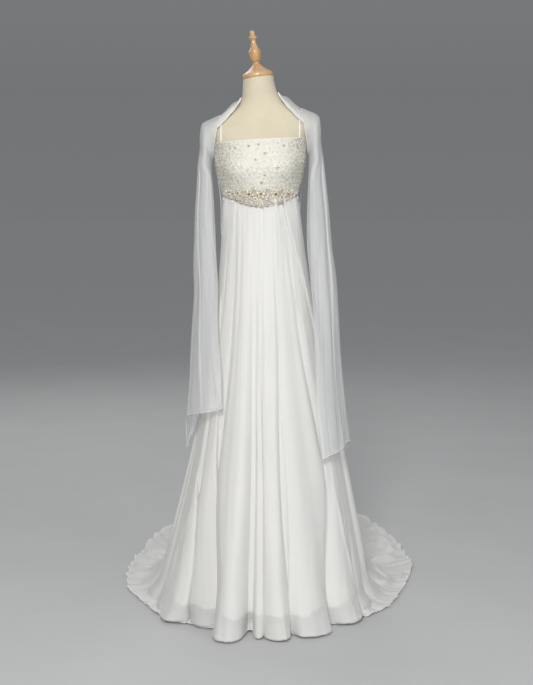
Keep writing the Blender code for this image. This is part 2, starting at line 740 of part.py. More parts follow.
def make_trim(beads):
    """A garland over the seam: its outline runs round its flowers, each of five petals, and
    between them lies a low backing."""
    bearings = np.linspace(-TRIM_END, TRIM_END, TRIM_COLUMNS + 1)
    shares = np.linspace(0, 1, TRIM_ROWS + 1)[:, None]
    outward = (bearings / TRIM_END) ** 2
    middle = TRIM_CORE["middle"] + TRIM_CORE["rise"] * outward
    half = TRIM_CORE["half"] + (TRIM_CORE["half_at_end"] - TRIM_CORE["half"]) * outward
    aside = np.radians(bearings[:, None] - FLOWERS["bearing"]) * WAIST
    reach = np.sqrt(np.clip(FLOWERS["radius"] ** 2 - aside**2, 0, None))
    met = reach > 0
    top = np.where(met, FLOWERS["z"] + reach, middle[:, None] + half[:, None]).max(1)
    low = np.where(met, FLOWERS["z"] - reach, middle[:, None] - half[:, None]).min(1)
    heights = top + (low - top) * shares
    around = np.broadcast_to(bearings, heights.shape)
    relief = np.zeros(heights.shape)
    for bearing, z, radius, out in zip(*FLOWERS.values()):
        aside = np.radians(around - bearing) * WAIST
        above = heights - z
        petal = 1 - PETAL_DEPTH * (1 - np.cos(PETALS * np.arctan2(aside, above)))
        distance = np.hypot(aside, above) / (radius * petal)
        relief = np.maximum(relief, out * np.sqrt(np.clip(1 - distance**2, 0, 1)))
    backing = over_seam(around, heights, TRIM_GAP)
    face = over_seam(around, heights, TRIM_GAP + TRIM_BASE + relief)
    rows, columns = heights.shape
    loop = np.concatenate([face, backing[::-1]], axis=0)
    ring_of_rows = np.concatenate([loop, loop[:1]], axis=0)
    made = grid_object("waist_trim", ring_of_rows, beads)
    close_ends(made, 2 * rows, columns)


def close_ends(made, rows, columns):
    """Joins the doubled last row of a wall to its first, and fills its two ends."""
    mesh = made.data
    first = [tuple(mesh.vertices[i].co) for i in range(rows * columns)]
    faces = []
    for face in mesh.polygons:
        faces.append([v % (rows * columns) for v in face.vertices])
    half = rows // 2
    for row in range(half - 1):
        behind = rows - 1 - row
        left = [row * columns, behind * columns, (behind - 1) * columns, (row + 1) * columns]
        faces.append(left)
        faces.append([corner + columns - 1 for corner in left[::-1]])
    mesh.clear_geometry()
    mesh.from_pydata(first, [], faces)
    mesh.shade_smooth()


# The shrug

def make_shrug(chiffon):
    """One piece, laid from the collar over both shoulders to the fronts, the armholes and the
    back's hem."""
    last = len(SHRUG["neck_z"]) - 1
    at = np.linspace(0, 2 * last, SHRUG_COLUMNS + 1)
    half = np.minimum(at, 2 * last - at)
    side = np.where(at > last, -1, 1)
    row = np.arange(last + 1.0)
    neck, neck_z, end, end_z, ring = (curve(half, row, values) for values in SHRUG.values())
    shares = np.linspace(0, 1, 60)[:, None]
    front = ease(1 - half / 3) * SHRUG_SAG * np.sin(pi * shares)
    bearings = neck + (end - neck) * (ease(shares) + shares) / 2 - front
    heights = neck_z + (end_z - neck_z) * shares**1.15
    hang = np.clip(SHRUG_HANG - heights, 0, None)
    pleat = SHRUG_PLEAT * np.cos(np.radians(neck * SHRUG_PLEATS)) * ease(hang * 5)
    bridge = SHRUG_BRIDGE * np.exp(-(((heights - NECK_BASE) / SHRUG_BRIDGE_HEIGHT) ** 2))
    away = SHRUG_AWAY + SHRUG_FLARE * hang + pleat + bridge
    points = form_point(side * bearings, heights, away, level=False)
    armhole = armhole_point(ring) * np.stack([side, np.ones_like(at), np.ones_like(at)], -1)
    to_armhole = leaned(armhole) - points[-1]
    sewn = ease(SHRUG_AT_ARMHOLE + 1 - half)[:, None] * shares[..., None] ** 1.5
    points = points + to_armhole * sewn
    slant = np.tan(radians(SHOULDER["turn"][0]))
    level = points[..., 2] - points[..., 0] * curve(points[..., 2], LEAN["z"], LEAN["rise"])
    limit = armhole_point(180)[0] + slant * np.clip(level - ARMPIT[1], 0, None)
    points[..., 0] = np.clip(points[..., 0], -limit, limit)
    cloth("shrug_back", even_rows(points, SHRUG_ROWS), chiffon, SHRUG_CHIFFON)


def armhole_point(ring):
    """A point of the right armhole's edge, just inside the sleeve's first ring."""
    turn = radians(SHOULDER["turn"][0])
    reach = SHOULDER["length"][0] * (1 + np.cos(np.radians(ring))) / 2
    x = ARMPIT[0] - SHRUG_ARM_GAP + reach * np.sin(turn)
    y = SHOULDER_MIDDLE - SHOULDER["depth"][0] * np.sin(np.radians(ring))
    return np.stack([x, y, ARMPIT[1] + reach * np.cos(turn)], -1)


def sleeve_points(side, sign):
    """Rings from the armhole over the shoulder, then down to the cuff. Round each ring, 0 is the
    outer layer, 90 the front fold, 180 the inner layer and 270 the back fold."""
    rings = np.linspace(0, 360, SLEEVE_COLUMNS, endpoint=False)
    outer = (1 + np.cos(np.radians(rings))) / 2
    forward = np.sin(np.radians(rings))
    folds = sum(
        out * ridge((rings - turn + 180) % 360 - 180, half_width)
        for turn, half_width, out in zip(*SLEEVE_FOLDS.values())
    )
    turn = np.radians(SHOULDER["turn"])[:, None]
    reach = SHOULDER["length"][:, None] * outer
    x = ARMPIT[0] + 0.3 * SEAM_GAP + reach * np.sin(turn)
    z = ARMPIT[1] - UNDERARM_DROP * turn + reach * np.cos(turn)
    y = SHOULDER_MIDDLE - SHOULDER["depth"][:, None] * forward
    over = np.stack([x, y, z], -1)

    made = SLEEVE[side]
    cuff = CUFF[side]
    level = np.array([cuff["outside"], cuff["front"], cuff["inside"], cuff["back"]] * 2)
    cuff_z = curve(rings, np.arange(8) * 90.0, level)
    shares = np.linspace(0, 1, SLEEVE_ROWS)[:, None]
    z = made["z"][0] + (cuff_z - made["z"][0]) * shares
    heights = made["z"][::-1]
    front, back, inner, room = (
        curve(z, heights, made[name][::-1]) for name in ("front", "back", "inner", "room")
    )
    bearing = (front + back) / 2 - (back - front) / 2 * forward
    clear = skirt_outside(sign * bearing, z) + SLEEVE_FROM_SKIRT
    at_least = np.maximum(inner, clear)
    radius = at_least + room * outer + folds * ease(shares * 2)
    down = polar(bearing, radius, z)
    return leaned(np.concatenate([over, down], axis=0) * (sign, 1, 1))


def make_sleeves(chiffon):
    for side, sign in (("left", -1), ("right", 1)):
        points = sleeve_points(side, sign)
        turned_out = points[:, ::-1] if sign > 0 else points
        cloth(f"sleeve_{side}", turned_out, chiffon, SHRUG_CHIFFON, closed=True)


def main():
    for obj in list(bpy.data.objects):
        bpy.data.objects.remove(obj)
    parts = bpy.data.collections.new(PARTS)
    bpy.context.scene.collection.children.link(parts)
    chiffon = material("ivory_chiffon", (0.90, 0.90, 0.88), 0.75)
    lining = material("ivory_lining", (0.88, 0.88, 0.86), 0.55)
    lace = material("beaded_lace", (0.86, 0.84, 0.78), 0.60)
    satin = material("strap_satin", (0.90, 0.89, 0.86), 0.45)
    beads = material("crystal_beads", (0.66, 0.60, 0.50), 0.30, 0.4)
    skin = material("form_jersey", (0.78, 0.71, 0.58), 0.85)
    wood = material("turned_wood", (0.72, 0.45, 0.22), 0.40)
    metal = material("white_metal", (0.82, 0.82, 0.80), 0.45)
    make_form(skin, wood, metal)
    make_bodice(lace)
    make_straps(satin)
    make_skirt(chiffon, lining)
    make_trim(beads)
    make_shrug(chiffon)
    make_sleeves(chiffon)


main()
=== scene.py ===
from math import pi, radians

import bpy
import numpy as np
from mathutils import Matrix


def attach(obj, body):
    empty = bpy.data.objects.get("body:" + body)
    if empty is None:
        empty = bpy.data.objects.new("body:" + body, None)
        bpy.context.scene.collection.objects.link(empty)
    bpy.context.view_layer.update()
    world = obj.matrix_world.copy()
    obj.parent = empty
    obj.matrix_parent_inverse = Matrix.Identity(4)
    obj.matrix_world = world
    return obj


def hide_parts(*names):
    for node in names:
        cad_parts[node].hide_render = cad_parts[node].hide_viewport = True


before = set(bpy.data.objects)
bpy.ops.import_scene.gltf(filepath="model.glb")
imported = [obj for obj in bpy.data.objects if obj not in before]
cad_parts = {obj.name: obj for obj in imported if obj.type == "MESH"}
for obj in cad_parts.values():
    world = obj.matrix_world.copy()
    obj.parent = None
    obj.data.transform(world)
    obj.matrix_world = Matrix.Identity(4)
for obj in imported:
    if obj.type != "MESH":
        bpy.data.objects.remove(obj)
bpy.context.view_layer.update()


# Studio: a pale floor that runs into a grey surround, lighter overhead, and broad soft lamps.
# The camera stands at the photographer's place, 3.5 m in front of the form at chest height
# and tilted a little down.

EYE = (0.018, -3.5, 1.18)
TILT_DOWN = 6.42
LENS = 61.62
SENSOR = 36.0
FLOOR_SIZE = 240.0
FLOOR_COLOUR = (0.54, 0.545, 0.55)
FLOOR_LIGHTER = tuple(1.03 * part for part in FLOOR_COLOUR)
# The surround's colour by the rise of the direction, from level to straight up
SURROUND = [
    (0.00, (0.180, 0.183, 0.187)),
    (0.10, (0.172, 0.175, 0.179)),
    (0.45, (0.250, 0.254, 0.258)),
    (1.00, (0.420, 0.425, 0.430)),
]
# name: place, target, size, power, colour
LAMPS = {
    "key": ((-0.4, -4.1, 3.0), (0.0, 0.0, 0.9), 0.9, 145.0, (1.0, 0.99, 0.97)),
    "fill": ((2.8, -3.0, 1.6), (0.0, 0.0, 0.8), 2.0, 24.0, (0.94, 0.97, 1.0)),
    "back": ((-1.2, 3.2, 3.3), (0.0, 0.2, 0.8), 2.6, 34.0, (1.0, 0.99, 0.97)),
}


def aim(obj, place, target):
    """Puts obj at place, looking at target."""
    direction = np.subtract(target, place)
    across = np.hypot(direction[0], direction[1])
    obj.location = place
    obj.rotation_euler = (
        pi / 2 + np.arctan2(direction[2], across),
        0.0,
        np.arctan2(-direction[0], direction[1]),
    )


camera = bpy.data.objects.new("camera", bpy.data.cameras.new("camera"))
bpy.context.scene.collection.objects.link(camera)
camera.location = EYE
camera.rotation_euler = (radians(90 - TILT_DOWN), 0.0, 0.0)
camera.data.lens = LENS
camera.data.sensor_width = SENSOR
bpy.context.scene.camera = camera

for lamp_name, (place, target, size, power, tint) in LAMPS.items():
    lamp = bpy.data.objects.new(lamp_name, bpy.data.lights.new(lamp_name, "AREA"))
    lamp.data.size = size
    lamp.data.energy = power
    lamp.data.color = tint
    aim(lamp, place, target)
    bpy.context.scene.collection.objects.link(lamp)



def finish(name, colour, roughness, **sockets):
    """A material with one Principled shader. Other sockets are given by name."""
    made = bpy.data.materials.new(name)
    made.use_nodes = True
    shader = made.node_tree.nodes["Principled BSDF"]
    shader.inputs["Base Color"].default_value = (*colour, 1.0)
    shader.inputs["Roughness"].default_value = roughness
    for socket, value in sockets.items():
        shader.inputs[socket.replace("_", " ")].default_value = value
    return made


def add_node(made, kind, values=None, **settings):
    """A node of that kind, with its inputs' values by name and its settings."""
    node = made.node_tree.nodes.new(kind)
    for key, value in settings.items():
        setattr(node, key, value)
    for key, value in (values or {}).items():
        node.inputs[key].default_value = value
    return node


def join(made, *pairs):
    """Links sockets: each pair is (node, output name, node, input name)."""
    for from_node, output, to_node, slot_name in pairs:
        made.node_tree.links.new(from_node.outputs[output], to_node.inputs[slot_name])


def shader_of(made):
    return made.node_tree.nodes["Principled BSDF"]


def noise(made, scale, detail=2.0, stretch=(1, 1, 1), by="Object", roughness=0.5):
    """Noise of that scale on the Object coordinates or the UV map, stretched by a Mapping."""
    place = add_node(made, "ShaderNodeTexCoord")
    mapping = add_node(made, "ShaderNodeMapping", {"Scale": stretch})
    values = {"Scale": scale, "Detail": detail, "Roughness": roughness}
    pattern = add_node(made, "ShaderNodeTexNoise", values)
    join(made, (place, by, mapping, "Vector"), (mapping, "Vector", pattern, "Vector"))
    return pattern


def ramp(made, source, stops, output=0):
    """A colour ramp over an output of source, through the stops (place, colour)."""
    node = add_node(made, "ShaderNodeValToRGB")
    elements = node.color_ramp.elements
    while len(elements) < len(stops):
        elements.new(0.5)
    for element, (place, colour) in zip(elements, stops):
        element.position = place
        element.color = (*colour, 1.0)
    join(made, (source, output, node, "Fac"))
    return node


def tone(made, source, low, high, span=(0.35, 0.65)):
    """The shader's colour, which goes from low to high over a span of source."""
    shade = ramp(made, source, list(zip(span, (low, high))))
    join(made, (shade, "Color", shader_of(made), "Base Color"))


def bump(made, source, distance, strength, under=None):
    """Relief from source on the shader's normal, over the relief of another bump node."""
    node = add_node(made, "ShaderNodeBump", {"Distance": distance, "Strength": strength})
    join(made, (source, 0, node, "Height"))
    if under is not None:
        join(made, (under, "Normal", node, "Normal"))
    join(made, (node, "Normal", shader_of(made), "Normal"))
    return node


world = bpy.data.worlds.new("studio")
world.use_nodes = True
sky_place = add_node(world, "ShaderNodeTexCoord")
sky_axes = add_node(world, "ShaderNodeSeparateXYZ")
join(world, (sky_place, "Generated", sky_axes, "Vector"))
sky = ramp(world, sky_axes, SURROUND, "Z")
join(world, (sky, "Color", world.node_tree.nodes["Background"], "Color"))
bpy.context.scene.world = world
bpy.context.scene.view_settings.view_transform = "Standard"
bpy.context.scene.cycles.transparent_max_bounces = 24

floor_paint = finish("floor_paint", FLOOR_COLOUR, roughness=0.85)
tone(floor_paint, noise(floor_paint, scale=3.0, detail=3.0), FLOOR_COLOUR, FLOOR_LIGHTER)
bpy.ops.mesh.primitive_plane_add(size=FLOOR_SIZE)
floor = bpy.context.object
floor.name = "floor"
floor.data.materials.append(floor_paint)


# The form: a padded torso on a neck, covered in cream cotton jersey that is sewn shut down the
# back. Its section is an ellipse at each height, with a soft mound for each cup.

SEAM_Z = 1.222            # the dress's empire seam
NECK_TOP = 1.566
TORSO_FOOT = 0.840


def table(columns, *rows):
    """One array for each named column."""
    return dict(zip(columns.split(), np.array(rows, float).T))


FORM = table(
    "z width front back middle",
    (0.840, 0.080, 0.070, 0.076, 0.006),
    (0.900, 0.092, 0.080, 0.088, 0.006),
    (0.970, 0.097, 0.084, 0.092, 0.004),
    (1.050, 0.095, 0.080, 0.084, 0.002),
    (1.120, 0.092, 0.077, 0.076, 0.001),
    (1.180, 0.098, 0.082, 0.080, 0.000),
    (1.222, 0.105, 0.088, 0.086, 0.000),
    (1.270, 0.118, 0.096, 0.093, 0.000),
    (1.320, 0.128, 0.098, 0.096, 0.000),
    (1.360, 0.130, 0.092, 0.095, 0.001),
    (1.395, 0.140, 0.081, 0.090, 0.003),
    (1.425, 0.150, 0.070, 0.080, 0.006),
    (1.448, 0.134, 0.061, 0.070, 0.008),
    (1.468, 0.101, 0.055, 0.062, 0.008),
    (1.488, 0.069, 0.050, 0.055, 0.006),
    (1.508, 0.055, 0.047, 0.050, 0.002),
    (1.535, 0.048, 0.045, 0.046, -0.004),
    (1.566, 0.044, 0.044, 0.044, -0.008),
)
CUP = {"bearing": 32.0, "z": 1.302, "out": 0.020, "spread": 22.0, "height": 0.036}
NECK_SHIFT = -0.006
NECK_BASE = 1.488
# The form leans: what lies at +X rises by this much for each metre.
LEAN = table(
    "z rise",
    (1.222, 0.000),
    (1.300, 0.035),
    (1.380, 0.062),
    (1.440, 0.064),
    (1.500, 0.115),
    (1.566, 0.136),
    (1.700, 0.136),
)
BACK_SEAM_DEPTH = 0.0009
BACK_SEAM_WIDTH = 1.1      # degrees
TORSO_ROWS = 190
TORSO_COLUMNS = 180


def curve(at, places, values):
    """A smooth curve through the values: on each span a cubic with its neighbours' slopes."""
    slopes = np.gradient(values, places)
    span = np.clip(np.searchsorted(places, at, side="right") - 1, 0, len(places) - 2)
    width = places[span + 1] - places[span]
    t = np.clip((at - places[span]) / width, 0, 1)
    from_here = (2 * t**3 - 3 * t**2 + 1) * values[span]
    to_next = (3 * t**2 - 2 * t**3) * values[span + 1]
    bend = (t**3 - 2 * t**2 + t) * slopes[span] + (t**3 - t**2) * slopes[span + 1]
    return from_here + to_next + bend * width


def read(made, at, names):
    """Columns of a table, each as a smooth curve over the table's first column."""
    places = next(iter(made.values()))
    values = [curve(at, places, made[name]) for name in names.split()]
    return values if len(values) > 1 else values[0]


def unit(vectors):
    """The vectors at length 1."""
    return vectors / np.maximum(np.linalg.norm(vectors, axis=-1, keepdims=True), 1e-12)


def ease(t):
    """0 to 1, level at both ends."""
    t = np.clip(t, 0, 1)
    return t * t * (3 - 2 * t)


def turn_between(bearing, other):
    """The signed turn from other to bearing, from -180 to 180 degrees."""
    return (np.asarray(bearing, float) - other + 180) % 360 - 180


def leaned(points):
    """The points with the form's lean: z rises with x."""
    x, y, z = np.moveaxis(points, -1, 0)
    return np.stack([x, y, z + x * read(LEAN, z, "rise")], -1)


def form_skin(bearing, z):
    """An ellipse at each height, its depth unlike before and behind, plus a Gaussian mound for
    each cup."""
    width, front, back, middle = read(FORM, z, "width front back middle")
    turn = np.radians(bearing)
    depth = np.where(np.cos(turn) > 0, front, back)
    aside = np.abs(turn_between(bearing, 0)) - CUP["bearing"]
    mound = np.exp(-((aside / CUP["spread"]) ** 2) - ((z - CUP["z"]) / CUP["height"]) ** 2)
    out = CUP["out"] * mound
    x = (width + out) * np.sin(turn)
    x = x + NECK_SHIFT * ease((z - NECK_BASE) / (NECK_TOP - NECK_BASE))
    y = middle - (depth + out) * np.cos(turn)
    return leaned(np.stack(np.broadcast_arrays(x, y, z), -1))


def form_normal(bearing, z, level=True):
    """The skin's outward unit normal, from its two tangents; level drops its rise."""
    bearing, z = np.broadcast_arrays(np.asarray(bearing, float), np.asarray(z, float))
    round_it = form_skin(bearing + 0.5, z) - form_skin(bearing - 0.5, z)
    up_it = form_skin(bearing, z + 0.001) - form_skin(bearing, z - 0.001)
    normal = np.cross(round_it, up_it)
    if level:
        normal[..., 2] = 0
    return unit(normal)


def form_point(bearing, z, away, level=True):
    """A point of the skin, moved out by away."""
    return form_skin(bearing, z) + form_normal(bearing, z, level) * np.asarray(away)[..., None]


def link_mesh(name, mesh, made, nodes=()):
    """An object for the mesh, riding on the body and standing for the CAD nodes."""
    obj = bpy.data.objects.new(name, mesh)
    bpy.context.scene.collection.objects.link(obj)
    mesh.materials.append(made)
    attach(obj, "root")
    if nodes:
        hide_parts(*nodes)
    return obj


def grid(name, points, made, nodes=(), around=False, caps=False, size=(1, 1)):
    """A surface through a grid of points, rows down it and columns across, so that faces point
    out when the columns run with the bearing. The UV map runs from 0 to size, in metres, across
    and down the cloth. around joins the last column to the first, and caps fills both ends."""
    rows, columns = points.shape[:2]
    index = np.arange(rows * columns).reshape(rows, columns)
    wrapped = np.concatenate([index, index[:, :1]], axis=1) if around else index
    corners = [wrapped[:-1, :-1], wrapped[1:, :-1], wrapped[1:, 1:], wrapped[:-1, 1:]]
    faces = np.stack(corners, -1).reshape(-1, 4).tolist()
    across = np.linspace(0, size[0], wrapped.shape[1])
    down = np.linspace(0, size[1], rows)
    u, v = np.meshgrid(across, down)
    flat = np.stack([u, v], -1)
    loops = [flat[:-1, :-1], flat[1:, :-1], flat[1:, 1:], flat[:-1, 1:]]
    uv = np.stack(loops, 2).reshape(-1, 2)
    if caps:
        faces += [index[0].tolist(), index[-1][::-1].tolist()]
        uv = np.concatenate([uv, np.zeros((2 * columns, 2))])
    mesh = bpy.data.meshes.new(name)
    mesh.from_pydata(points.reshape(-1, 3).tolist(), [], faces)
    mesh.uv_layers.new(name="cloth").data.foreach_set("uv", uv.ravel())
    mesh.shade_smooth()
    return link_mesh(name, mesh, made, nodes)


jersey = finish("cream_jersey", (0.67, 0.605, 0.455), roughness=0.85, Sheen_Weight=0.15)
jersey_tone = noise(jersey, scale=14.0, detail=3.0)
tone(jersey, jersey_tone, (0.64, 0.575, 0.43), (0.69, 0.625, 0.475), span=(0.3, 0.7))
jersey_knit = noise(jersey, scale=1400.0, detail=1.0, stretch=(1, 1, 0.45))
bump(jersey, jersey_knit, distance=0.0003, strength=0.5)

torso_turn = np.linspace(0, 360, TORSO_COLUMNS, endpoint=False)
torso_z = np.linspace(NECK_TOP, TORSO_FOOT, TORSO_ROWS)[:, None]
torso_points = form_skin(torso_turn, torso_z)
back_seam = np.exp(-((turn_between(torso_turn, 180) / BACK_SEAM_WIDTH) ** 2))
torso_points -= form_normal(torso_turn, torso_z) * (BACK_SEAM_DEPTH * back_seam)[None, :, None]
grid("torso", torso_points, jersey, ["form_torso"], around=True, caps=True)


# The neck's cap: turned from pale maple, with a waisted collar, a ball and a flat knob, and
# varnished. A profile through its beads and coves is carried round its own leaning axis.

# The radius and the height above the neck
FINIAL = table(
    "radius height",
    (0.0000, 0.1370),
    (0.0045, 0.1362),
    (0.0070, 0.1335),
    (0.0078, 0.1290),
    (0.0068, 0.1235),
    (0.0078, 0.1212),
    (0.0115, 0.1180),
    (0.0121, 0.1155),
    (0.0118, 0.1130),
    (0.0080, 0.1100),
    (0.0066, 0.1070),
    (0.0072, 0.0980),
    (0.0120, 0.0860),
    (0.0172, 0.0780),
    (0.0180, 0.0735),
    (0.0168, 0.0620),
    (0.0138, 0.0500),
    (0.0095, 0.0460),
    (0.0092, 0.0430),
    (0.0098, 0.0400),
    (0.0160, 0.0330),
    (0.0260, 0.0240),
    (0.0380, 0.0165),
    (0.0450, 0.0120),
    (0.0462, 0.0060),
    (0.0455, 0.0020),
    (0.0440, 0.0003),
    (0.0000, 0.0003),
)
CAP_ROWS = 6               # for each row of the profile
CAP_COLUMNS = 96

varnish = {"Coat_Weight": 0.5, "Coat_Roughness": 0.15}
maple = finish("varnished_maple", (0.60, 0.37, 0.18), roughness=0.36, **varnish)
maple_grain = noise(maple, scale=26.0, detail=5.0, stretch=(2.2, 2.2, 0.35), roughness=0.6)
maple_stops = [(0.30, (0.50, 0.28, 0.12)), (0.50, (0.61, 0.38, 0.18)), (0.72, (0.69, 0.47, 0.26))]
maple_tone = ramp(maple, maple_grain, maple_stops)
join(maple, (maple_tone, "Color", shader_of(maple), "Base Color"))
bump(maple, maple_grain, distance=0.0004, strength=0.25)

cap_steps = np.arange(len(FINIAL["radius"]), dtype=float)
cap_at = np.linspace(0, cap_steps[-1], CAP_ROWS * len(cap_steps))
cap_radius = np.interp(cap_at, cap_steps, FINIAL["radius"])
cap_height = np.interp(cap_at, cap_steps, FINIAL["height"])
cap_radius[2:-2] = np.convolve(cap_radius, [1, 2, 3, 2, 1], "valid") / 9
cap_turn = np.radians(np.linspace(0, 360, CAP_COLUMNS, endpoint=False))
cap_x = cap_radius[1:-1, None] * np.sin(cap_turn)
cap_y = -cap_radius[1:-1, None] * np.cos(cap_turn)
cap_up = np.broadcast_to(cap_height[1:-1, None], cap_x.shape)
cap_tilt = np.arctan(read(LEAN, NECK_TOP, "rise"))
cap_across = cap_x * np.cos(cap_tilt) - cap_up * np.sin(cap_tilt)
cap_rise = cap_x * np.sin(cap_tilt) + cap_up * np.cos(cap_tilt)
cap_foot = form_skin(np.array([0.0, 180.0]), NECK_TOP).mean(0)
cap_points = cap_foot + np.stack([cap_across, cap_y, cap_rise], -1)
grid("neck_cap", cap_points, maple, ["form_neck_cap"], around=True, caps=True)


# The stand: a steel pole and a round foot with a rolled rim, in white stoving paint. Both keep
# their own solids.

stand_paint = finish("white_stand_paint", (0.78, 0.78, 0.76), roughness=0.38, Coat_Weight=0.2)
stand_tone = noise(stand_paint, scale=30.0, detail=4.0)
tone(stand_paint, stand_tone, (0.76, 0.76, 0.74), (0.81, 0.81, 0.79), span=(0.4, 0.75))
stand_grain = noise(stand_paint, scale=900.0, detail=1.0)
bump(stand_paint, stand_grain, distance=0.0002, strength=0.3)
for stand_node in ("form_pole", "form_foot"):
    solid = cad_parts[stand_node]
    solid.data.materials.clear()
    solid.data.materials.append(stand_paint)


# The skirt: a front and a back of ivory chiffon, gathered into the empire seam. It falls in
# flutes, and the back runs out over the floor as a train. Each point is on a path that hangs
# from the waist, turns on a quadratic curve and lies down, moved out by flutes, gathers and
# creases.

SKIRT_AWAY = 0.0044       # the chiffon at the seam, off the form's skin
CHIFFON_LIES = 0.0012     # lowest cloth above the floor
HEM = table(
    "bearing reach fall line",
    (-180, 1.140, 0.430, 0.30),
    (-168, 1.020, 0.420, 0.30),
    (-158, 0.880, 0.405, 0.28),
    (-150, 0.765, 0.395, 0.25),
    (-141, 0.645, 0.380, 0.22),
    (-125, 0.527, 0.350, 0.18),
    (-112, 0.462, 0.328, 0.15),
    (-99, 0.416, 0.314, 0.14),
    (-88, 0.378, 0.308, 0.15),
    (-77, 0.352, 0.306, 0.18),
    (-61, 0.342, 0.314, 0.28),
    (-45, 0.334, 0.325, 0.38),
    (-30, 0.308, 0.308, 0.45),
    (-14, 0.335, 0.335, 0.50),
    (0, 0.322, 0.322, 0.50),
    (14, 0.335, 0.335, 0.50),
    (26, 0.335, 0.335, 0.52),
    (38, 0.318, 0.318, 0.58),
    (48, 0.334, 0.324, 0.66),
    (59, 0.362, 0.320, 0.74),
    (72, 0.388, 0.312, 0.80),
    (86, 0.412, 0.310, 0.80),
    (108, 0.490, 0.335, 0.62),
    (122, 0.590, 0.362, 0.46),
    (132, 0.660, 0.382, 0.38),
    (140, 0.742, 0.395, 0.34),
    (151, 0.895, 0.410, 0.31),
    (161, 1.050, 0.420, 0.30),
    (172, 1.125, 0.428, 0.30),
    (180, 1.140, 0.430, 0.30),
)
HEM_SIDE = 78.0
CORNER = 0.17
CORNER_LIFT = 1.15
BEND_WAY = 1.08
HANGING_SLOPE = 34.0
FAN_SHARE = 0.71
FAN = table(
    "hem waist",
    (-180, -180),
    (-130, -136),
    (-78, -90),
    (-53, -66),
    (-27, -40),
    (-7.5, -13),
    (1.7, 1),
    (13.5, 20),
    (41.5, 46),
    (60, 68),
    (78, 90),
    (130, 136),
    (180, 180),
)
# How far the columns at some bearings swing aside by mid way and by the hem, so that the long
# folds hang upright where the skirt flares
SWING = table(
    "bearing middle hem",
    (-180, 0, 0),
    (-100, 0, 0),
    (-53, -5, 2),
    (-26, -8.5, 4),
    (-6, 0, 0),
    (13.5, 0, 0),
    (40, 12.5, -3.5),
    (60, 8, -3),
    (90, 0, 0),
    (180, 0, 0),
)
SWING_MIDDLE = 0.6
FLUTES = table(
    "bearing half_width out",
    (-171, 9, 0.022),
    (-153, 11, 0.034),
    (-133, 9, 0.026),
    (-117, 8, 0.020),
    (-102, 8, 0.026),
    (-88, 8, 0.022),
    (-66, 9, 0.020),
    (-52, 9, 0.030),
    (-35, 8, 0.022),
    (-16, 9.6, 0.066),
    (-0.6, 2.9, 0.036),
    (7.6, 6.2, 0.052),
    (26.5, 13, 0.044),
    (52, 11, 0.034),
    (68, 8, 0.022),
    (88, 10, 0.026),
    (104, 8, 0.022),
    (120, 9, 0.030),
    (140, 12, 0.026),
    (160, 9, 0.036),
    (177, 8, 0.020),
)
FLUTE_ON_FLOOR = 0.30
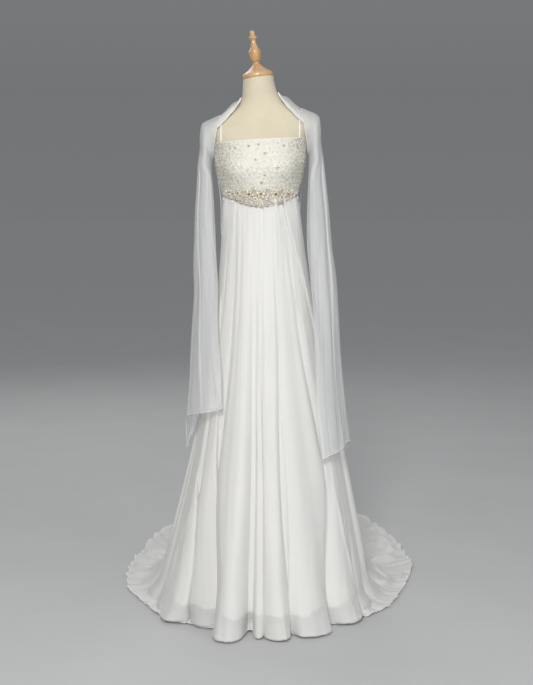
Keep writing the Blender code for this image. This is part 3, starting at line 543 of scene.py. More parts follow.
# Creases: the hem bearings that each passes at none, a third, two thirds and all of the way
# down, the shares between which it shows, its half width and depth, and which side laps over
# the other: 1 the higher bearings, -1 the lower, 0 neither.
CREASES = table(
    "b0 b1 b2 b3 start end width depth lap",
    (20.8, 15.4, 16.6, 14.2, -0.1, 1.10, 0.0045, 0.0060, -1),
    (-4.0, -0.8, 2.0, 1.9, 0.22, 1.10, 0.0040, 0.0040, 1),
    (-2.7, -1.7, -2.2, -3.0, -0.1, 0.66, 0.0035, 0.0022, 0),
    (-9.4, -7.0, -7.0, -7.0, -0.1, 0.34, 0.0040, 0.0022, 0),
    (-15.3, -14.4, -14.4, -14.4, -0.1, 0.16, 0.0040, 0.0024, 0),
    (3.6, 2.6, 2.0, 2.0, -0.1, 0.14, 0.0036, 0.0024, 0),
    (9.6, 7.4, 7.0, 7.0, -0.1, 0.22, 0.0040, 0.0020, 0),
    (-21.5, -19.5, -36.0, -44.0, -0.1, 0.42, 0.0055, 0.0034, 0),
    (-29.0, -31.0, -44.0, -50.0, -0.1, 0.36, 0.0060, 0.0030, 0),
    (-75.0, -40.0, -26.6, -25.8, 0.20, 1.10, 0.0045, 0.0080, -1),
    (-6.0, -6.6, -7.6, -6.8, 0.42, 1.10, 0.0070, 0.0030, 0),
    (-98.0, -84.0, -46.0, -43.5, 0.62, 1.10, 0.0055, 0.0060, -1),
    (-30.0, -32.0, -42.0, -84.0, 0.70, 0.98, 0.0110, -0.0060, 0),
    (22.0, 46.0, 46.0, 46.0, -0.1, 0.38, 0.0050, 0.0036, -1),
    (34.0, 62.0, 38.5, 40.0, -0.1, 1.10, 0.0055, 0.0090, 1),
    (27.6, 30.0, 31.0, 29.0, 0.06, 0.30, 0.0060, 0.0024, 0),
    (28.0, 28.0, 28.0, 22.0, 0.76, 0.94, 0.0050, 0.0040, 0),
    (50.0, 46.0, 43.0, 39.0, 0.54, 0.86, 0.0045, 0.0030, 0),
    (56.0, 54.0, 51.0, 47.0, 0.84, 1.02, 0.0050, 0.0044, 0),
    (48.0, 46.0, 45.0, 65.0, 0.66, 1.04, 0.0060, -0.0070, 0),
    (88.0, 88.0, 87.0, 84.0, 0.46, 0.99, 0.0080, 0.0240, -1),
    (96.0, 95.0, 95.0, 96.0, -0.1, 0.85, 0.0070, 0.0060, 1),
    (112.0, 111.0, 112.0, 112.0, -0.1, 0.60, 0.0060, 0.0044, -1),
    (129.0, 130.0, 130.0, 130.0, -0.1, 0.95, 0.0070, 0.0070, 1),
    (149.0, 150.0, 150.0, 150.0, -0.1, 0.50, 0.0060, 0.0040, 0),
    (168.0, 169.0, 169.0, 168.0, -0.1, 0.95, 0.0070, 0.0080, -1),
    (-96.0, -95.0, -95.0, -95.0, -0.1, 0.90, 0.0070, 0.0070, -1),
    (-109.0, -110.0, -110.0, -110.0, -0.1, 0.45, 0.0060, 0.0040, 1),
    (-125.0, -125.0, -126.0, -126.0, -0.1, 0.95, 0.0070, 0.0080, 1),
    (-143.0, -143.0, -143.0, -143.0, -0.1, 0.65, 0.0070, 0.0050, -1),
    (-163.0, -162.0, -162.0, -162.0, -0.1, 0.95, 0.0070, 0.0070, 1),
    (-176.0, -177.0, -178.0, -178.0, -0.1, 0.55, 0.0060, 0.0050, 0),
)
# Folds on the floor: each is a ridge along a quadratic curve from the first point to the last,
# drawn towards the middle one, with its half width and height.
FLOOR_FOLDS = table(
    "x0 y0 xm ym x1 y1 width height",
    (0.329, 0.233, 0.368, -0.092, 0.428, 0.191, 0.011, 0.016),
    (0.359, 0.250, 0.379, 0.115, 0.415, 0.160, 0.009, 0.012),
    (0.435, 0.139, 0.452, 0.175, 0.464, 0.222, 0.008, 0.009),
    (0.364, 0.309, 0.400, 0.372, 0.473, 0.393, 0.014, 0.012),
    (0.383, 0.582, 0.435, 0.495, 0.487, 0.423, 0.013, 0.010),
    (0.389, 0.659, 0.427, 0.630, 0.459, 0.532, 0.012, 0.010),
    (0.394, 0.745, 0.430, 0.770, 0.454, 0.672, 0.012, 0.009),
    (-0.377, 0.089, -0.320, 0.007, -0.284, 0.298, 0.011, 0.014),
    (-0.344, -0.090, -0.320, -0.096, -0.290, -0.070, 0.008, 0.010),
    (-0.420, 0.191, -0.380, 0.165, -0.340, 0.165, 0.010, 0.008),
    (-0.429, 0.312, -0.395, 0.250, -0.340, 0.234, 0.011, 0.010),
    (-0.426, 0.377, -0.390, 0.315, -0.330, 0.290, 0.009, 0.008),
    (-0.414, 0.443, -0.370, 0.400, -0.320, 0.350, 0.012, 0.010),
    (-0.400, 0.495, -0.360, 0.455, -0.300, 0.440, 0.009, 0.007),
    (-0.370, 0.640, -0.310, 0.560, -0.300, 0.440, 0.016, 0.012),
    (0.330, 0.980, 0.270, 0.800, 0.280, 0.580, 0.018, 0.014),
    (0.200, 1.060, 0.190, 0.860, 0.150, 0.640, 0.014, 0.011),
    (0.090, 1.100, 0.060, 0.900, 0.090, 0.740, 0.012, 0.009),
    (-0.030, 1.110, 0.010, 0.860, -0.020, 0.560, 0.018, 0.014),
    (-0.130, 1.060, -0.110, 0.930, -0.130, 0.780, 0.012, 0.009),
    (-0.220, 0.980, -0.200, 0.780, -0.160, 0.560, 0.016, 0.013),
    (-0.290, 0.860, -0.270, 0.760, -0.240, 0.660, 0.012, 0.009),
    (-0.120, 0.500, 0.010, 0.440, 0.130, 0.520, 0.014, 0.012),
    (0.160, 0.430, 0.230, 0.420, 0.290, 0.350, 0.013, 0.011),
    (-0.260, 0.400, -0.210, 0.450, -0.130, 0.440, 0.013, 0.010),
)
FOLD_STEPS = 36
FOLD_HEIGHT = 1.4
CREASE_RADIUS = 0.45      # from here out the creases widen no more
CREASE_WIDTHS = (0.6, 1.4)  # of its width, at the waist and at the hem
CREASE_FADES = (0.10, 0.16)
TROUGH_DEPTH = 0.6
LAP_BACK = 1.7
LAP_CLIMB = 0.7           # of the crease's width
LAP_FADE = 7              # times the crease's width
CREASE_LIMIT = 0.0052     # troughs stay this shallow, clear of the lining
GATHERS = 118             # small pleats round the waist
GATHER_OUT = 0.0022
GATHER_SHARE = 0.13
PLEAT_POWER = 1.4         # narrows a pleat's crown
STREAK_OUT = 0.00028      # faint upright waves all the way down
FLUTE_POWER = 4.6         # higher up the flutes are broad and flat, with narrow troughs between
HEM_POWER = 2.0           # at the hem they are rounder
ROUND_SHARE = 0.38
FLUTE_GROWTH = 1.6
HEM_SPREAD = 0.009        # a broad flute's sides bulge over its troughs by this much at the hem
BROAD = 10.0
HEM_SPREAD_SHARE = 0.15
HEM_FLARE = 0.018         # and its crown flares out by this much
HEM_RISE = 0.004          # the hanging hem rises and falls by about this much
TROUGH_RISE = 0.013       # and lifts off the floor in the troughs, which run in deeper there
TROUGH_IN = 0.022
TROUGH_SHARE = 0.05
CROWN = 0.034             # a flute that stands out this far has no trough on it
EDGE_WAVE = 0.0070        # the train's edge lifts by this much at each small wave
EDGE_SHARE = 0.055
EDGE_WAVES = 84
EDGE_OUT = 1.4            # of its lift, that a wave moves out where the cloth lies
EDGE_OUT_HANGING = 0.45   # and where it hangs
RIPPLE = 0.003            # the lying cloth rises and falls by this much
LYING_FROM = 0.2          # 0 where the cloth hangs, 1 where it lies flat
SLOPE_STEP = 0.01
SKIRT_ROWS = 236
SKIRT_COLUMNS = 400
HEM_STEPS = 900


def polar(bearing, radius, z):
    turn = np.radians(bearing)
    return np.stack(np.broadcast_arrays(radius * np.sin(turn), -radius * np.cos(turn), z), -1)


def hem_line(bearing, name):
    return read(HEM, turn_between(bearing, 0), name)


def waist_radius(turn, away):
    """The radius of the form's ellipse at the seam, in the direction turn, plus away."""
    turn = np.radians(turn)
    width, front, back = read(FORM, SEAM_Z, "width front back")
    depth = np.where(np.cos(turn) > 0, front, back)
    return width * depth / np.hypot(depth * np.sin(turn), width * np.cos(turn)) + away


def hang_share(drop, line):
    """The share of its flare that the cloth has after a share of its drop: part of it grows
    with the drop, and the rest with its square."""
    return line * drop + (1 - line) * drop**2


def quadratic(t, start, middle, end):
    """The curve from start to end that is drawn towards middle."""
    return (1 - t) ** 2 * start + 2 * t * (1 - t) * middle + t**2 * end


def near_hem(share, last):
    """0 down to the last share of the way, and from there up to 1 at the hem."""
    return ease((share - 1 + last) / last)


def skirt_path(bearing, waist, share):
    """Radius and height a share of the way from waist to hem: down to a corner, round it on a
    quadratic curve, then flat along the floor."""
    reach = hem_line(bearing, "reach")
    fall = np.minimum(hem_line(bearing, "fall"), reach)
    line = hem_line(bearing, "line")
    lie = reach - fall
    corner = np.minimum(lie, CORNER)
    lift = CORNER_LIFT * corner
    drop = 1 - lift / SEAM_Z
    bend_radius = waist + (fall - waist) * hang_share(drop, line)
    hang_length = np.hypot(bend_radius - waist, SEAM_Z - lift)
    bend_length = BEND_WAY * np.hypot(fall + corner - bend_radius, lift)
    way = share * (hang_length + bend_length + lie - corner)
    down = np.clip(way / hang_length, 0, 1) * drop
    turned = np.clip((way - hang_length) / np.maximum(bend_length, 1e-6), 0, 1)
    along = np.clip(way - hang_length - bend_length, 0, None)
    hang_radius = waist + (fall - waist) * hang_share(down, line)
    bend = quadratic(turned, bend_radius, fall, fall + corner)
    hanging = way < hang_length
    radius = np.where(hanging, hang_radius, bend + along)
    return radius, np.where(hanging, SEAM_Z * (1 - down), lift * (1 - turned) ** 2)


def swung(bearing, share):
    """The bearing after the swing: it grows to the middle one, then goes over to the hem's."""
    middle, hem = read(SWING, bearing, "middle hem")
    low = near_hem(share, 1 - SWING_MIDDLE)
    return bearing + middle * ease(share / SWING_MIDDLE) * (1 - low) + hem * low


def flute_way(bearing):
    """The way across each flute: 0 on its crown, -1 and 1 at its edges and beyond them."""
    aside = turn_between(np.asarray(bearing, float)[..., None], FLUTES["bearing"])
    return np.clip(aside / FLUTES["half_width"], -1, 1)


def flutes(bearing, power=HEM_POWER):
    """How far the flutes stand out at the hem: on each, 1 less a power of the way to its edge."""
    way = np.abs(flute_way(bearing))
    return ((1 - way ** np.asarray(power)[..., None]) * FLUTES["out"]).max(-1)


def bulge(bearing):
    """How far aside the hem moves, from -1 to 1: a sine that is 0 on each flute's crown and at
    its edge, less on a narrow flute."""
    way = flute_way(bearing)
    nearest = np.abs(way).argmin(-1)
    way = np.take_along_axis(way, nearest[..., None], -1)[..., 0]
    return np.sin(pi * way) * FLUTES["half_width"][nearest] / BROAD


def uneven(place, seed):
    """A slow wander from -1 to 1: three sines whose lengths have no common measure."""
    first, second = np.sin(2.1 * place + seed), np.sin(3.7 * place + 2.3 * seed)
    return (first + second + np.sin(6.1 * place - seed)) / 3


def folded(u, width, depth, lap):
    """A crease across its own path, at a distance u. Without a lap it is a Gaussian trough. With
    one, the cloth runs back on itself for a short way, u less 1.7 u times a Gaussian, while it
    climbs to the upper layer on a tanh, which eases back over seven widths. Gives how far the
    cloth moves out, and how far aside."""
    near = np.exp(-((u / width) ** 2) / 2)
    trough = -TROUGH_DEPTH * depth * near**2
    if not lap:
        return trough, 0.0
    climb = (1 + np.tanh(lap * u / (LAP_CLIMB * width))) / 2
    out = depth * climb * np.exp(-np.abs(u) / (LAP_FADE * width)) + 0.5 * trough
    return out, -LAP_BACK * u * near


def creases(bearing, share, radius):
    """The sum of all creases, each along its own curved path: how far out, and how far aside."""
    out = np.zeros(np.broadcast_shapes(bearing.shape, share.shape))
    aside = np.zeros(out.shape)
    places = np.array([0, 1 / 3, 2 / 3, 1])
    for *bearings, start, end, width, depth, lap in zip(*CREASES.values()):
        path = curve(share, places, np.array(bearings))
        u = turn_between(bearing, path) * np.radians(1) * radius
        shown = ease((share - start) / CREASE_FADES[0]) * ease((end - share) / CREASE_FADES[1])
        spread = width * np.interp(share, (0, 1), CREASE_WIDTHS)
        fold_out, fold_aside = folded(u, spread, depth, lap)
        out += shown * fold_out
        aside += shown * fold_aside
    return np.where(out < 0, -CREASE_LIMIT * np.tanh(-out / CREASE_LIMIT), out), aside


def floor_folds(x, y):
    """The height that the floor's folds add: each is a Gaussian ridge by the distance from the
    steps on its curve, and fades at both ends."""
    along = np.linspace(0, 1, FOLD_STEPS)
    fade = ease(3 * along) * ease(3 * (1 - along))
    height = np.zeros(x.shape)
    for x0, y0, xm, ym, x1, y1, width, rise in zip(*FLOOR_FOLDS.values()):
        path_x = quadratic(along, x0, xm, x1)
        path_y = quadratic(along, y0, ym, y1)
        away = (x[..., None] - path_x) ** 2 + (y[..., None] - path_y) ** 2
        height += FOLD_HEIGHT * rise * fade[away.argmin(-1)] * np.exp(-away.min(-1) / width**2)
    return height


def gathers(place, share):
    """Small pleats round the waist: a power of a raised cosine, uneven in place, height and
    length. place is the angle round the waist."""
    phase = GATHERS * place / (2 * pi) + 0.55 * uneven(9 * place, 1.0)
    pleat = (0.5 + 0.5 * np.cos(2 * pi * phase)) ** PLEAT_POWER
    height = 0.75 + 0.45 * uneven(5 * place, 2.2)
    length = GATHER_SHARE * (1 + 0.7 * uneven(13 * place, 4.0))
    return GATHER_OUT * pleat * height * (1 - ease(share / length))


def streaks(place, share):
    """Two sines round the waist that wander as they run down, from nothing at the seam."""
    wide = np.sin(41 * place + 2.0 * uneven(3 * place + 2 * share, 0.7))
    narrow = np.sin(67 * place + 2.5 * uneven(4 * place - 3 * share, 1.9))
    return STREAK_OUT * (wide + 0.7 * narrow) * ease(share * 6)


def edge_waves(place, share):
    """The small waves of the edge: a raised sine, uneven in place, height and length."""
    phase = EDGE_WAVES * place / (2 * pi) + 0.6 * uneven(5 * place, 0.4)
    wave = 0.5 + 0.5 * np.sin(2 * pi * phase)
    length = EDGE_SHARE * (1.3 + 0.4 * uneven(11 * place, 2.0))
    height = np.clip(0.7 + 0.6 * uneven(7 * place, 3.0), 0.35, 0.95)
    return EDGE_WAVE * wave * height * near_hem(share, length)


def skirt_surface(bearing, share):
    """The path's point, with the column's own bearing fanning out from the gathers, moved
    outwards where the cloth hangs and upwards where it lies."""
    top = read(FAN, bearing, "waist")
    waist = waist_radius(top, SKIRT_AWAY)
    way = swung(bearing, share)
    radius, z = skirt_path(way, waist, share)
    next_radius, next_z = skirt_path(way, waist, share + SLOPE_STEP)
    last_radius, last_z = skirt_path(way, waist, share - SLOPE_STEP)
    slope = np.degrees(np.arctan2(next_radius - last_radius, last_z - next_z))
    flat = ease((slope - HANGING_SLOPE) / (90 - HANGING_SLOPE))
    hanging = 1 - flat
    fold_out, fold_aside = creases(bearing, share, np.minimum(radius, CREASE_RADIUS))
    power = FLUTE_POWER + (HEM_POWER - FLUTE_POWER) * near_hem(share, ROUND_SHARE)
    out = flutes(np.broadcast_to(bearing, radius.shape), power) * share**FLUTE_GROWTH + fold_out
    at_hem = near_hem(share, HEM_SPREAD_SHARE) * hanging
    at_edge = near_hem(share, TROUGH_SHARE) * hanging
    trough = 1 - np.clip(flutes(bearing) / CROWN, 0, 1)
    out = out + HEM_FLARE * (1 - trough) * at_hem**2 - TROUGH_IN * trough * at_edge
    aside = fold_aside + HEM_SPREAD * bulge(bearing) * at_hem
    turn = top + turn_between(way, top) * ease(share / FAN_SHARE) + np.degrees(aside / radius)
    place = np.radians(top)
    edge = edge_waves(place, share)
    radius = radius + (out + streaks(place, share)) * hanging + gathers(place, share)
    radius = radius + edge * (EDGE_OUT * flat + EDGE_OUT_HANGING * hanging)
    ripple = RIPPLE * (1 + uneven(17 * place + 5 * share, 1.3))
    up = FLUTE_ON_FLOOR * out * flat * (1.5 - share) + (edge + ripple) * flat
    up = up + HEM_RISE * (0.5 + 0.5 * uneven(4 * place, 5.0)) * at_hem
    up = up + TROUGH_RISE * trough * at_hem**2
    points = polar(turn, radius, np.maximum(z + up, CHIFFON_LIES))
    lying = flat > LYING_FROM
    points[lying, 2] += floor_folds(*points[lying, :2].T) * flat[lying]
    return points


def thin_cloth(made, stretch, relief, grain, opacity):
    """Crinkles down the cloth, a fine grain over them, and a weave that is more open in places.
    relief is the crinkles' distance and strength, and opacity the least and most."""
    crinkles = bump(made, noise(made, scale=1.0, detail=3.0, stretch=stretch, by="UV"), *relief)
    fine = noise(made, scale=900.0, detail=1.0)
    bump(made, fine, distance=0.00025, strength=grain, under=crinkles)
    weave = noise(made, scale=1200.0, detail=1.0)
    least, most = opacity
    alpha = add_node(made, "ShaderNodeMapRange", {"To Min": least, "To Max": most})
    join(made, (weave, 0, alpha, "Value"), (alpha, "Result", shader_of(made), "Alpha"))


chiffon = finish("ivory_chiffon", (0.87, 0.865, 0.84), roughness=0.62, Sheen_Weight=0.15)
chiffon_tone = noise(chiffon, scale=5.0, detail=3.0)
tone(chiffon, chiffon_tone, (0.85, 0.85, 0.835), (0.885, 0.88, 0.855), span=(0.3, 0.7))
thin_cloth(chiffon, (260, 24, 1), relief=(0.0005, 0.3), grain=0.35, opacity=(0.56, 0.84))

front_turn = np.linspace(-HEM_SIDE, HEM_SIDE, SKIRT_COLUMNS)
skirt_share = np.linspace(0, 1, SKIRT_ROWS)[:, None]
front_points = skirt_surface(front_turn, skirt_share)
FRONT_CUT = (1.15, 1.27)
skirt_front = grid(
    "skirt_front_chiffon", front_points, chiffon, ["skirt_front"], size=FRONT_CUT
)

# The back's columns are evenly spaced along its hem, which is measured in fine steps.
fine_turn = np.linspace(HEM_SIDE, 360 - HEM_SIDE, HEM_STEPS)
fine_edge = polar(fine_turn, hem_line(fine_turn, "reach"), 0)
fine_way = np.append(0, np.cumsum(np.linalg.norm(np.diff(fine_edge, axis=0), axis=1)))
even_way = np.linspace(0, fine_way[-1], SKIRT_COLUMNS)
back_turn = np.interp(even_way, fine_way, fine_turn)
back_points = skirt_surface(turn_between(back_turn, 0), skirt_share)
BACK_CUT = (2.90, 1.95)
skirt_back = grid(
    "skirt_back_chiffon", back_points, chiffon, ["skirt_back"], size=BACK_CUT
)


def rings_on(path, beside, outward, radius, flat, sides):
    """A ring of points round each point of a path: radius wide along beside, and flat times as
    deep along outward."""
    turn = np.radians(np.linspace(0, 360, sides, endpoint=False))[:, None]
    ring = np.cos(turn) * beside[:, None] + flat * np.sin(turn) * outward[:, None]
    return path[:, None] + radius * ring


def pipe(name, path, radius, made, flat=1.0, sides=8, closed=False):
    """A round or flattened cord carried along a path, its depth pointing away from the Z axis."""
    ahead = np.gradient(path, axis=0)
    if closed:
        ahead = np.roll(path, -1, axis=0) - np.roll(path, 1, axis=0)
    ahead = unit(ahead)
    outward = path * (1, 1, 0)
    outward = unit(outward - (outward * ahead).sum(1, keepdims=True) * ahead)
    points = rings_on(path, np.cross(ahead, outward), outward, radius, flat, sides)
    if closed:
        points = np.concatenate([points, points[:1]])
    length = np.linalg.norm(np.diff(path, axis=0), axis=1).sum()
    size = (2 * pi * radius, length)
    return grid(name, points, made, around=True, caps=not closed, size=size)


HEM_ROLL = 0.0010         # the rolled hem's radius
hem_thread = finish("rolled_hem", (0.90, 0.895, 0.875), roughness=0.5, Sheen_Weight=0.2)
roll_twist = noise(hem_thread, scale=1.0, detail=1.0, stretch=(60, 900, 1), by="UV")
tone(hem_thread, roll_twist, (0.86, 0.86, 0.84), (0.92, 0.92, 0.90))
front_roll, back_roll = (
    pipe(f"skirt_{half}_rolled_hem", points[-1], HEM_ROLL, hem_thread, sides=6)
    for half, points in (("front", front_points), ("back", back_points))
)


# The skirt's lining: one round layer of smooth ivory satin that ends above the floor, so that
# only the chiffon reaches the hem.

LINING_AWAY = 0.0024
LINING_HEM = 0.050        # above the floor
LINING_INSIDE = 0.007     # it hangs this far inside the chiffon
LINING_DROP = 0.25        # from this far below the seam
LINING_BELOW_SEAM = 0.012
LINING_FOLDS = 0.45       # of the chiffon's flutes
LINING_HEM_WAVE = 0.009
LINING_ROWS = 110
LINING_COLUMNS = 256


def flare(bearing, z, waist):
    """How far the hanging cloth has moved out from the waist at a height."""
    fall = np.minimum(hem_line(bearing, "fall"), hem_line(bearing, "reach"))
    return (fall - waist) * hang_share(np.clip(1 - z / SEAM_Z, 0, 1), hem_line(bearing, "line"))


lining_satin = finish("lining_satin", (0.86, 0.85, 0.82), roughness=0.45, Sheen_Weight=0.1)
lining_sheen = noise(lining_satin, scale=1.0, detail=2.0, stretch=(40, 6, 1), by="UV")
bump(lining_satin, lining_sheen, distance=0.001, strength=0.3)
lining_turn = np.linspace(-180, 180, LINING_COLUMNS, endpoint=False)
lining_share = np.linspace(0, 1, LINING_ROWS)[:, None]
lining_hem = LINING_HEM + LINING_HEM_WAVE * uneven(5 * np.radians(lining_turn), 1.4)
lining_top = SEAM_Z - LINING_BELOW_SEAM
lining_z = lining_top + (lining_hem - lining_top) * lining_share
lining_waist = waist_radius(lining_turn, LINING_AWAY)
lining_in = LINING_INSIDE * ease((SEAM_Z - lining_z) / LINING_DROP)
lining_way = swung(lining_turn, lining_share)
lining_radius = lining_waist + flare(lining_way, lining_z, lining_waist) - lining_in
lining_radius += LINING_FOLDS * flutes(lining_turn) * lining_share**2
lining_points = polar(lining_way, lining_radius, lining_z)
LINING_CUT = (2.25, 1.22)
skirt_lining = grid(
    "lining_satin_layer",
    lining_points,
    lining_satin,
    ["skirt_lining"],
    around=True,
    size=LINING_CUT,
)


# The bodice: a boned front and two back panels of ivory lace on satin, with a straight bound
# top edge. The lace is embroidered with small flowers, raised in its own thickness.

BODICE_TOP = 1.384
BODICE_BACK_TOP = 1.352
BODICE_AWAY = 0.0050
BODICE_UNDERARM = 62.0
LACE_THICKNESS = 0.0016
LACE_RAISED = 0.0016
MOTIF_PITCH = 0.0135      # from one embroidered flower to the next
MOTIF_WANDER = 0.0016
BODICE_RADIUS = 0.115
SEAM_GAP = 0.0003
SEAM_EDGE = 0.2           # degrees that a panel keeps from its seam
LACE_EDGE = 1 / 40        # of a panel's height, in which the relief fades at both edges
PANEL_ROWS = 120
PANEL_COLUMNS = 130       # for a quarter of the way round
PANEL_HEIGHT = 0.165


def bodice_top(bearing):
    """The height of the top edge: straight in front, lower from the underarm to the back."""
    beyond = (np.abs(turn_between(bearing, 0)) - BODICE_UNDERARM) / (90 - BODICE_UNDERARM)
    return BODICE_TOP - (BODICE_TOP - BODICE_BACK_TOP) * ease(beyond)


def lace_relief(across, up):
    """Five-petalled flowers on a staggered grid, each turned and moved by its own place: a ring
    of petals where the distance stays under a rosette's radius."""
    row = np.floor(up / MOTIF_PITCH)
    column = np.floor(across / MOTIF_PITCH + 0.5 * (row % 2))
    spin = 2.4 * row + 1.7 * column
    middle_x = (column + 0.5 - 0.5 * (row % 2)) * MOTIF_PITCH + MOTIF_WANDER * np.sin(spin * 3.1)
    middle_y = (row + 0.5) * MOTIF_PITCH + MOTIF_WANDER * np.cos(spin * 2.3)
    dx, dy = across - middle_x, up - middle_y
    size = MOTIF_PITCH * (0.40 + 0.07 * np.sin(spin * 1.9))
    petal = 0.74 + 0.26 * np.cos(5 * (np.arctan2(dx, dy) + spin))
    near = np.hypot(dx, dy) / (size * petal)
    ring = np.clip(1 - near**2, 0, 1) ** 0.5 * (0.55 + 0.45 * np.clip(near * 2, 0, 1))
    return LACE_RAISED * ring


lace = finish("beaded_lace", (0.86, 0.83, 0.74), roughness=0.55, Sheen_Weight=0.2)
# Painted shade on the lace: dark specks stand for the beads' shadows, and they grow thicker
# towards the sides and low down, where the form turns away from the light.
SIDE_SHADOW = 17.0         # painted bead shadows: dark specks that grow with the square of x, in metres
LOW_SHADOW = 0.55           # and by this much for each metre below a height
LOW_SHADOW_FROM = 1.32
BEAD_SHADOW_MOST = 0.74         # the painted shadows' own colour shows by this much at most
# One noise gives the lace both its relief and its colour. The colour is the threads' own tone plus
# painted shade, darker where the relief sinks.
lace_threads = noise(lace, scale=420.0, detail=4.0, roughness=0.7)
lace_thread_and_shade_stops = [(0.34, (0.57, 0.54, 0.45)), (0.46, (0.75, 0.73, 0.65)), (0.60, (0.83, 0.815, 0.75))]
lace_tone_and_shade = ramp(lace, lace_threads, lace_thread_and_shade_stops)
bead_shadow_specks = noise(lace, scale=210.0, detail=1.0)
lace_place = add_node(lace, "ShaderNodeTexCoord")
lace_axes = add_node(lace, "ShaderNodeSeparateXYZ")
lace_square = add_node(lace, "ShaderNodeMath", operation="MULTIPLY")
side_shadow = add_node(lace, "ShaderNodeMath", {1: SIDE_SHADOW}, operation="MULTIPLY_ADD")
lace_below = add_node(
    lace, "ShaderNodeMath", {0: LOW_SHADOW_FROM}, operation="SUBTRACT", use_clamp=True
)
low_shadow = add_node(lace, "ShaderNodeMath", {1: LOW_SHADOW}, operation="MULTIPLY_ADD")
join(
    lace,
    (lace_place, "Object", lace_axes, "Vector"),
    (lace_axes, "X", lace_square, 0),
    (lace_axes, "X", lace_square, 1),
    (lace_square, "Value", side_shadow, 0),
    (bead_shadow_specks, "Fac", side_shadow, 2),
    (lace_axes, "Z", lace_below, 1),
    (lace_below, "Value", low_shadow, 0),
    (side_shadow, "Value", low_shadow, 2),
)
# The painted bead shadows' mask, and their dark colour mixed into the lace's colour.
bead_shadow_stops = [(0.62, (0.0, 0.0, 0.0)), (0.80, (1.0, 1.0, 1.0))]
bead_shadow_mask = ramp(lace, low_shadow, bead_shadow_stops)
bead_shadow_mix = add_node(lace, "ShaderNodeMix", {"B": (0.34, 0.315, 0.25, 1.0)}, data_type="RGBA")
bead_shadow_most = add_node(lace, "ShaderNodeMath", {1: BEAD_SHADOW_MOST}, operation="MULTIPLY")
join(
    lace,
    (bead_shadow_mask, "Color", bead_shadow_most, 0),
    (bead_shadow_most, "Value", bead_shadow_mix, "Factor"),
    (lace_tone_and_shade, "Color", bead_shadow_mix, "A"),
    (bead_shadow_mix, "Result", shader_of(lace), "Base Color"),
)
bump(lace, lace_threads, distance=0.0012, strength=0.6)


def give_wall(piece, thickness):
    """Thickens a surface inwards."""
    wall = piece.modifiers.new("wall", "SOLIDIFY")
    wall.thickness = thickness
    wall.offset = -1


def bodice_panel(name, low_turn, high_turn):
    """The form's skin between two bearings, moved out by the lace, from top edge to seam."""
    columns = PANEL_COLUMNS * (high_turn - low_turn) // 90
    turn = np.linspace(low_turn + SEAM_EDGE, high_turn - SEAM_EDGE, columns)
    share = np.linspace(0, 1, PANEL_ROWS)[:, None]
    top = bodice_top(turn)
    z = top + (SEAM_Z + SEAM_GAP - top) * share
    across = np.radians(turn) * BODICE_RADIUS
    edges = ease(share / LACE_EDGE) * ease((1 - share) / LACE_EDGE)
    relief = lace_relief(np.broadcast_to(across, z.shape), z) * edges
    points = form_point(turn, z, BODICE_AWAY + relief)
    size = (np.ptp(across), PANEL_HEIGHT)
    give_wall(grid(f"{name}_lace", points, lace, [name], size=size), LACE_THICKNESS)


bodice_panel("bodice_front", -90, 90)
bodice_panel("bodice_back_right", 90, 180)
bodice_panel("bodice_back_left", 180, 270)

satin = finish("ivory_satin", (0.88, 0.87, 0.83), roughness=0.30, Sheen_Weight=0.2)
satin_threads = noise(satin, scale=1.0, detail=2.0, stretch=(900, 60, 1), by="UV")
tone(satin, satin_threads, (0.84, 0.83, 0.79), (0.91, 0.90, 0.87))
bump(satin, satin_threads, distance=0.0003, strength=0.4)

BINDING_RADIUS = 0.0011
BINDING_FLAT = 1.25
# Each binding's bearings, half a degree short of the side seams, and its steps
BINDINGS = {"front": (-89.5, 89.5, 240), "back": (90.5, 269.5, 200)}
for half, binding_span in BINDINGS.items():
    turn = np.linspace(*binding_span)
    path = form_point(turn, bodice_top(turn), BODICE_AWAY - 0.5 * LACE_THICKNESS)
    pipe(f"top_binding_{half}", path, BINDING_RADIUS, satin, flat=BINDING_FLAT)


# The straps: two flat satin cords from the front's top edge over the shoulders to the back,
# mostly under the shrug. Each runs at a fixed distance from the middle, on the form's skin.

STRAP_ASIDE = 0.1145
STRAP_AWAY = 0.0030
STRAP_HALF_WIDTH = 0.0021
STRAP_DEPTH = 0.55        # of its width
STRAP_INSIDE = (0.004, 1.385)   # y and z of the point that the rays start from
STRAP_RAYS = (-97, 108, 400)    # from the front to behind, in degrees from upright, and how many
STRAP_FAR = 0.16          # their length
STRAP_ROWS = 120
STRAP_SIDES = 12
STRAP_CUT = (0.011, 0.2)


def form_level(point):
    """Below 1 inside the form and above it outside: the ellipse's equation at that height."""
    x, y, z = np.moveaxis(point, -1, 0)
    level = z
    for _ in range(4):
        level = z - x * read(LEAN, level, "rise")
    width, front, back, middle = read(FORM, level, "width front back middle")
    depth = np.where(y < middle, front, back)
    return (x / width) ** 2 + ((y - middle) / depth) ** 2


def strap_path(side):
    """Rays fan out from a point inside the shoulder, in the plane of the strap, and each is
    halved down to where it leaves the form."""
    inside = np.array([side * STRAP_ASIDE, *STRAP_INSIDE])
    turns = np.radians(np.linspace(*STRAP_RAYS))
    ways = np.stack([np.zeros_like(turns), np.sin(turns), np.cos(turns)], -1)
    low, high = np.zeros(len(turns)), np.full(len(turns), STRAP_FAR)
    for _ in range(40):
        middle = (low + high) / 2
        within = form_level(inside + ways * middle[:, None]) < 1
        low, high = np.where(within, middle, low), np.where(within, high, middle)
    on_skin = inside + ways * low[:, None]
    step = np.eye(3) * 0.001
    normal = np.stack([form_level(on_skin + d) - form_level(on_skin - d) for d in step], -1)
    normal[:, 0] = 0
    return on_skin + unit(normal) * STRAP_AWAY


